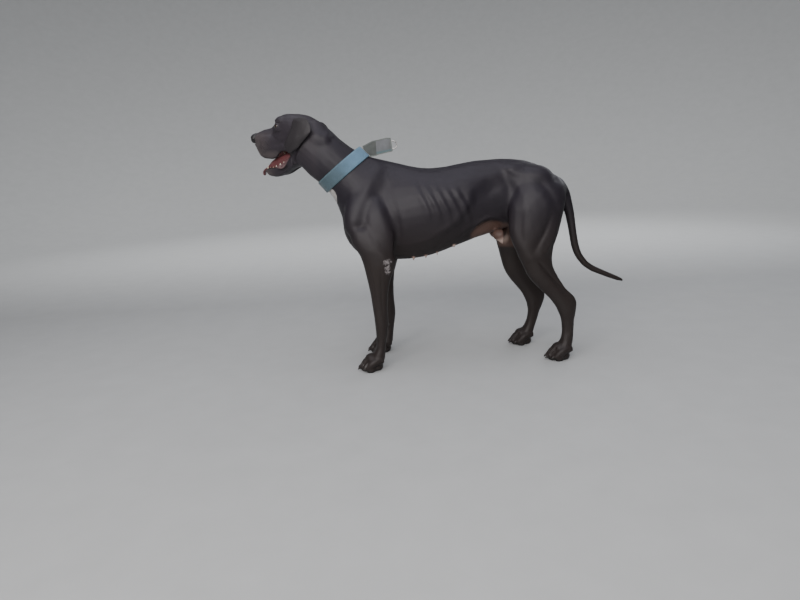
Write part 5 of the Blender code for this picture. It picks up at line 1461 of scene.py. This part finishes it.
# %% The lie of the coat
# Body guides: place along and up, then the direction of the hair there
BODY_LIE = [(-0.20, 0.86, 0.62, -0.78), (-0.29, 0.76, 0.45, -0.89), (-0.10, 0.79, 0.80, -0.60),
            (-0.19, 0.62, 0.15, -0.99), (-0.10, 0.66, 0.45, -0.89), (-0.13, 0.52, 0.10, -0.99),
            (0.00, 0.76, 0.98, -0.20), (0.15, 0.73, 1.00, -0.08), (0.40, 0.75, 1.00, -0.05),
            (0.55, 0.71, 0.90, -0.44), (0.05, 0.58, 0.85, -0.53), (0.20, 0.60, 0.90, -0.44),
            (0.05, 0.42, 0.97, -0.15), (0.20, 0.46, 0.98, 0.10), (0.33, 0.58, 0.75, -0.66),
            (0.40, 0.52, 0.30, -0.95), (0.50, 0.62, 0.45, -0.89), (0.60, 0.60, 0.35, -0.94),
            (0.46, 0.45, 0.15, -0.99), (0.58, 0.45, 0.10, -0.99), (0.52, 0.33, 0.45, -0.89),
            (0.61, 0.22, 0.30, -0.95), (0.62, 0.10, 0.00, -1.00), (0.57, 0.03, -0.80, -0.60),
            (-0.08, 0.35, 0.05, -1.00), (-0.07, 0.15, 0.00, -1.00), (-0.13, 0.04, -0.70, -0.70),
            (0.65, 0.52, 0.15, -0.99), (0.69, 0.38, 0.55, -0.84), (0.79, 0.30, 0.92, -0.39)]
# Head guides: place forward and up, then the direction forward and up
HEAD_LIE = [(0.27, 0.89, -0.90, 0.30), (0.22, 0.90, -1.00, 0.08), (0.17, 0.93, -0.70, 0.70),
            (0.11, 0.95, -1.00, 0.00), (0.02, 0.93, -0.90, -0.40), (0.22, 0.84, -0.85, -0.50),
            (0.15, 0.87, -0.98, -0.15), (0.10, 0.83, -0.80, -0.60), (0.05, 0.87, -0.60, -0.80),
            (0.20, 0.74, -1.00, 0.05), (0.12, 0.77, -0.95, 0.20), (0.03, 0.78, -0.60, -0.80)]


def lie(points, normals):
    """The direction of the hair, laid flat on the skin."""
    places, ways = [], []
    for x, z, along_x, up in BODY_LIE:
        places.append(body_at(x, 0, z)[[0, 2]])
        ways.append((along_x, 0.0, up))
    for s, z, forward, up in HEAD_LIE:
        places.append(head_at(s, 0, z)[[0, 2]])
        ways.append(FORWARD * forward + UP * up)
    gap = norm(points[:, None, [0, 2]] - np.array(places))
    weight = 1 / (gap**2 + 0.015**2) ** 2
    way = weight @ np.array(ways) / weight.sum(axis=1, keepdims=True)
    s, side = in_head(points)[:, :2].T
    on_ear = (np.abs(side) > 0.064) & (s > -0.03) & (points[:, 2] > 0.79)
    way[on_ear] = FORWARD * 0.35 - UP * 0.94
    way = way - normals * (way * normals).sum(1)[:, None]
    return unit(way)


# %% How thick it stands
def growth(points, normals):
    """How thick the hair stands, and how long it is."""
    p, h = in_body(points), in_head(points)
    x, y, z = p.T
    marks = markings(points, normals)
    face, muzzle = (step(h[:, 0], *reach) * marks["face"] for reach in ((-0.03, 0.06), (0.15, 0.19)))
    feet = fade(z, 0.07, 0.13)
    tail = step(x, 0.638, 0.650) * step(z, 0.25, 0.26)
    breech = step(x, 0.545, 0.590) * step(z, 0.38, 0.46) * fade(z, 0.64, 0.68) * (1 - tail)
    under = step(-normals[:, 2], 0.3, 0.8) * step(z, 0.38, 0.42) * (1 - marks["face"])
    limbs = fade(z, 0.34, 0.46) * (1 - tail)
    length = 0.0082 - 0.0030 * face - 0.0012 * muzzle - 0.0020 * limbs - 0.0014 * feet
    length = length + 0.0030 * breech + 0.0022 * tail + 0.0020 * under * (1 - marks["bare"])
    ridge = step(normals[:, 2], 0.75, 0.97) * step(z, 0.62, 0.66)
    thick = 1 + 0.9 * ridge + breech + 1.2 * tail + 0.8 * under + 1.6 * face + 1.5 * (feet + marks["ear"])
    none = np.maximum.reduce([marks["gum"], marks["lip"], marks["pad"], marks["teat"]])
    thick = thick * (1 - none) * (1 - 0.85 * marks["bare"]) * (1 - 0.7 * marks["callus"])
    from_band = (points - COLLAR_TOP) @ NECK_WAY
    thick = thick * ((np.abs(from_band) > BAND_WIDTH / 2 + 0.001) | (z < 0.60) | (x > 0.0))
    for side in (1, -1):
        from_eye = norm(points - eye_at(side))
        thick = thick * step(from_eye, EYE_RADIUS + 0.0020, EYE_RADIUS + 0.0035)
    thick = thick * (1 - step(past_nose(h[:, 0], z), -0.004, 0.0) * marks["face"])
    return thick, length


# %% Unwrap for the coat
def unwrap(skin, faces):
    """A coarse copy of a skin, opened out flat, as a tree and the corners and places of its faces."""
    made = copied(skin, "unwrapped")
    apply(made, "DECIMATE", ratio=faces / triangles(made))
    apply(made, "TRIANGULATE")
    edit_all(made)
    bpy.ops.uv.smart_project(angle_limit=math.radians(66), island_margin=0.01)
    bpy.ops.object.mode_set(mode="OBJECT")
    flat = np.empty(len(made.data.loops) * 2, np.float32)
    made.data.uv_layers.active.data.foreach_get("uv", flat)
    corners = np.empty(len(made.data.loops), np.int32)
    made.data.loops.foreach_get("vertex_index", corners)
    tree = tree_of(made)
    shape = points_of(made)[corners.reshape(-1, 3)]
    bpy.data.objects.remove(made)
    return tree, shape, flat.reshape(-1, 3, 2)


def nearest(tree, points):
    """The nearest places on a surface, the normals there and the faces they lie on."""
    found = [tree.find_nearest(Vector(point)) for point in points]
    return [np.array([row[i] for row in found]) for i in range(3)]


def unwrapped_place(flat, points):
    """Where points of the skin lie on its unwrap."""
    tree, shape, places = flat
    spot, _, face = nearest(tree, points)
    a, b, c = shape[face].transpose(1, 0, 2)
    u, v, w = b - a, c - a, spot - a
    uu, uv, vv = (u * u).sum(1), (u * v).sum(1), (v * v).sum(1)
    wu, wv = (w * u).sum(1), (w * v).sum(1)
    size = np.maximum(uu * vv - uv * uv, 1e-18)
    second, third = (vv * wu - uv * wv) / size, (uu * wv - uv * wu) / size
    first = 1 - second - third
    return (places[face] * np.stack([first, second, third], 1)[:, :, None]).sum(1)


# %% Grow the tufts
hair_coat = coat_finish("coat_hair", True)
# One tuft: three corners at the root, three half way and a tip, closed by ten triangles
TUFT_FACES = np.array([(0, 1, 4), (0, 4, 3), (1, 2, 5), (1, 5, 4), (2, 0, 3), (2, 3, 5),
                       (3, 4, 6), (4, 5, 6), (5, 3, 6), (0, 2, 1)])
# The place of each corner on the coat's unwrap, round the place of the root
PATCH = np.array([(-1, -1), (1, -1), (0, -0.6), (-0.7, 0.2), (0.7, 0.2), (0, 0.4), (0, 1)]) * 0.0015
# Half the width and the height of a tuft as shares of its length, and how deep its root is set
TUFT_WIDTH, TUFT_HEIGHT, ROOT_DEPTH = 0.050, 0.013, 0.0002
PIECE_TUFTS = 19000


def grow(skin, name, count, seed):
    """Spread tufts over a skin, in pieces of at most PIECE_TUFTS."""
    rng = np.random.default_rng(seed)
    skin.data.calc_loop_triangles()
    faces = np.empty(len(skin.data.loop_triangles) * 3, np.int32)
    skin.data.loop_triangles.foreach_get("vertices", faces)
    faces = faces.reshape(-1, 3)
    points, normals = points_of(skin), normals_of(skin)
    thick, length = growth(points, normals)
    a, b, c = points[faces].transpose(1, 0, 2)
    area = norm(np.cross(b - a, c - a)) * thick[faces].mean(1)
    chosen = rng.choice(len(faces), count, p=area / area.sum())
    share = rng.random((count, 2))
    share = np.where(share.sum(1, keepdims=True) > 1, 1 - share, share)
    share = np.concatenate([1 - share.sum(1, keepdims=True), share], axis=1)[:, :, None]
    root = (points[faces[chosen]] * share).sum(1)
    up = unit((normals[faces[chosen]] * share).sum(1))
    long = (length[faces[chosen]] * share[:, :, 0]).sum(1) * rng.uniform(0.7, 1.25, count)
    way = lie(root, up)
    way = unit(way + np.cross(up, way) * rng.normal(0, 0.16, (count, 1)))
    end, end_up, _ = nearest(tree_of(skin), root + way * long[:, None])
    beside = np.cross(up, way)
    bend = np.arccos(np.clip((up * end_up).sum(1), -1, 1))
    rise = unit(up + end_up)
    lift = long * rng.uniform(0.008, 0.035, count)
    middle = (root + end) / 2 + rise * (long * bend / 8 + lift * 0.8)[:, None]
    tip = end + end_up * lift[:, None]
    wide = (long * TUFT_WIDTH)[:, None] * beside
    high = (long * TUFT_HEIGHT)[:, None]
    sunk = root - up * ROOT_DEPTH
    corners = np.stack([sunk - wide, sunk + wide, sunk + up * high, middle - wide * 0.8, middle + wide * 0.8,
                        middle + rise * high, tip], axis=1)
    # Each hair takes the light as the skin under it does, so that the coat stays sleek
    shine = np.stack([up, up, up, rise, rise, rise, end_up], axis=1)
    flat = unwrapped_place(unwrap(skin, 6000), root)
    pieces = []
    for part, rows in enumerate(np.array_split(np.arange(count), math.ceil(count / PIECE_TUFTS))):
        mesh = bpy.data.meshes.new("%s_%d" % (name, part + 1))
        made = bpy.data.objects.new(mesh.name, mesh)
        bpy.context.scene.collection.objects.link(made)
        index = (TUFT_FACES[None] + np.arange(len(rows))[:, None, None] * 7).reshape(-1)
        mesh.vertices.add(len(rows) * 7)
        mesh.vertices.foreach_set("co", corners[rows].reshape(-1).astype(np.float32))
        mesh.loops.add(len(index))
        mesh.loops.foreach_set("vertex_index", index.astype(np.int32))
        mesh.polygons.add(len(index) // 3)
        mesh.polygons.foreach_set("loop_start", np.arange(0, len(index), 3, dtype=np.int32))
        mesh.update(calc_edges=True)
        layer = mesh.uv_layers.new(name="OFBake")
        places = (flat[rows][:, None] + PATCH[None]).reshape(-1, 2)[index]
        layer.data.foreach_set("uv", places.astype(np.float32).ravel())
        for key, values in markings(root[rows], up[rows]).items():
            store(made, key, np.repeat(values, 7))
        mesh.shade_smooth()
        mesh.normals_split_custom_set_from_vertices(shine[rows].reshape(-1, 3))
        dress(made, hair_coat, "coat")
        pieces.append(made)
    return pieces


# %% The coat
tufts = grow(head_skin, "head_hair", 34000, 11) + grow(body_skin, "body_hair", 72000, 12)
print(len(tufts), "pieces of hair,", sum(triangles(piece) for piece in tufts), "triangles")

# %% [markdown]
# Whiskers
#
# Stiff dark whiskers stand in four rows on each side of the muzzle, with a few over the eyes and on
# the chin. They sweep back and taper to nothing.

# %% Set the whiskers
rng = np.random.default_rng(5)
head_tree = tree_of(head_skin)
made = []
# Beds of whiskers: forward, up and how long
BEDS = [(0.248 - 0.011 * column - 0.003 * row, 0.868 - 0.010 * row, 0.020 + 0.004 * column)
        for row in range(4) for column in range(4)]
BEDS += [(0.152 + 0.006 * i, 0.938, 0.020) for i in range(3)]
BEDS += [(0.110, 0.850, 0.018), (0.104, 0.844, 0.016)]
BEDS += [(0.222 - 0.012 * i, 0.745, 0.012) for i in range(3)]
for side in (1, -1):
    for s, z, length in BEDS:
        s, z = s + rng.normal(0, 0.0012), z + rng.normal(0, 0.0012)
        hit, normal, _, far = head_tree.ray_cast(Vector(head_at(s, 0.12 * side, z)), Vector(-LEFT * side))
        if hit is None or far > 0.12:
            continue
        hit, normal = np.array(hit), np.array(normal)
        way = unit(normal * 0.55 - FORWARD * 0.75 - UP * 0.25 + rng.normal(0, 0.06, 3))
        t = np.linspace(0, 1, 9)[:, None]
        path = hit - normal * 0.001 + way * t * length + (-UP * 0.22 - FORWARD * 0.15) * length * t**2
        rings = along_path(path, 0.00030 * (1 - t[:, 0] ** 1.5) + 0.00004, 5)
        made.append(loft("whisker", rings))
whiskers = joined(made, "whiskers")
whiskers.data.shade_smooth()
bristle = Finish("bristle", Roughness=0.35)
bristle.feed(Base_Color=bristle.mix(bristle.noise(80.0), (0.010, 0.009, 0.010), (0.050, 0.045, 0.045)))
dress(whiskers, bristle.made, "coat")
print("whiskers:", len(made))

# %% [markdown]
# The end
#
# The view layer is brought up to date.

# %% Finish
bpy.context.view_layer.update()
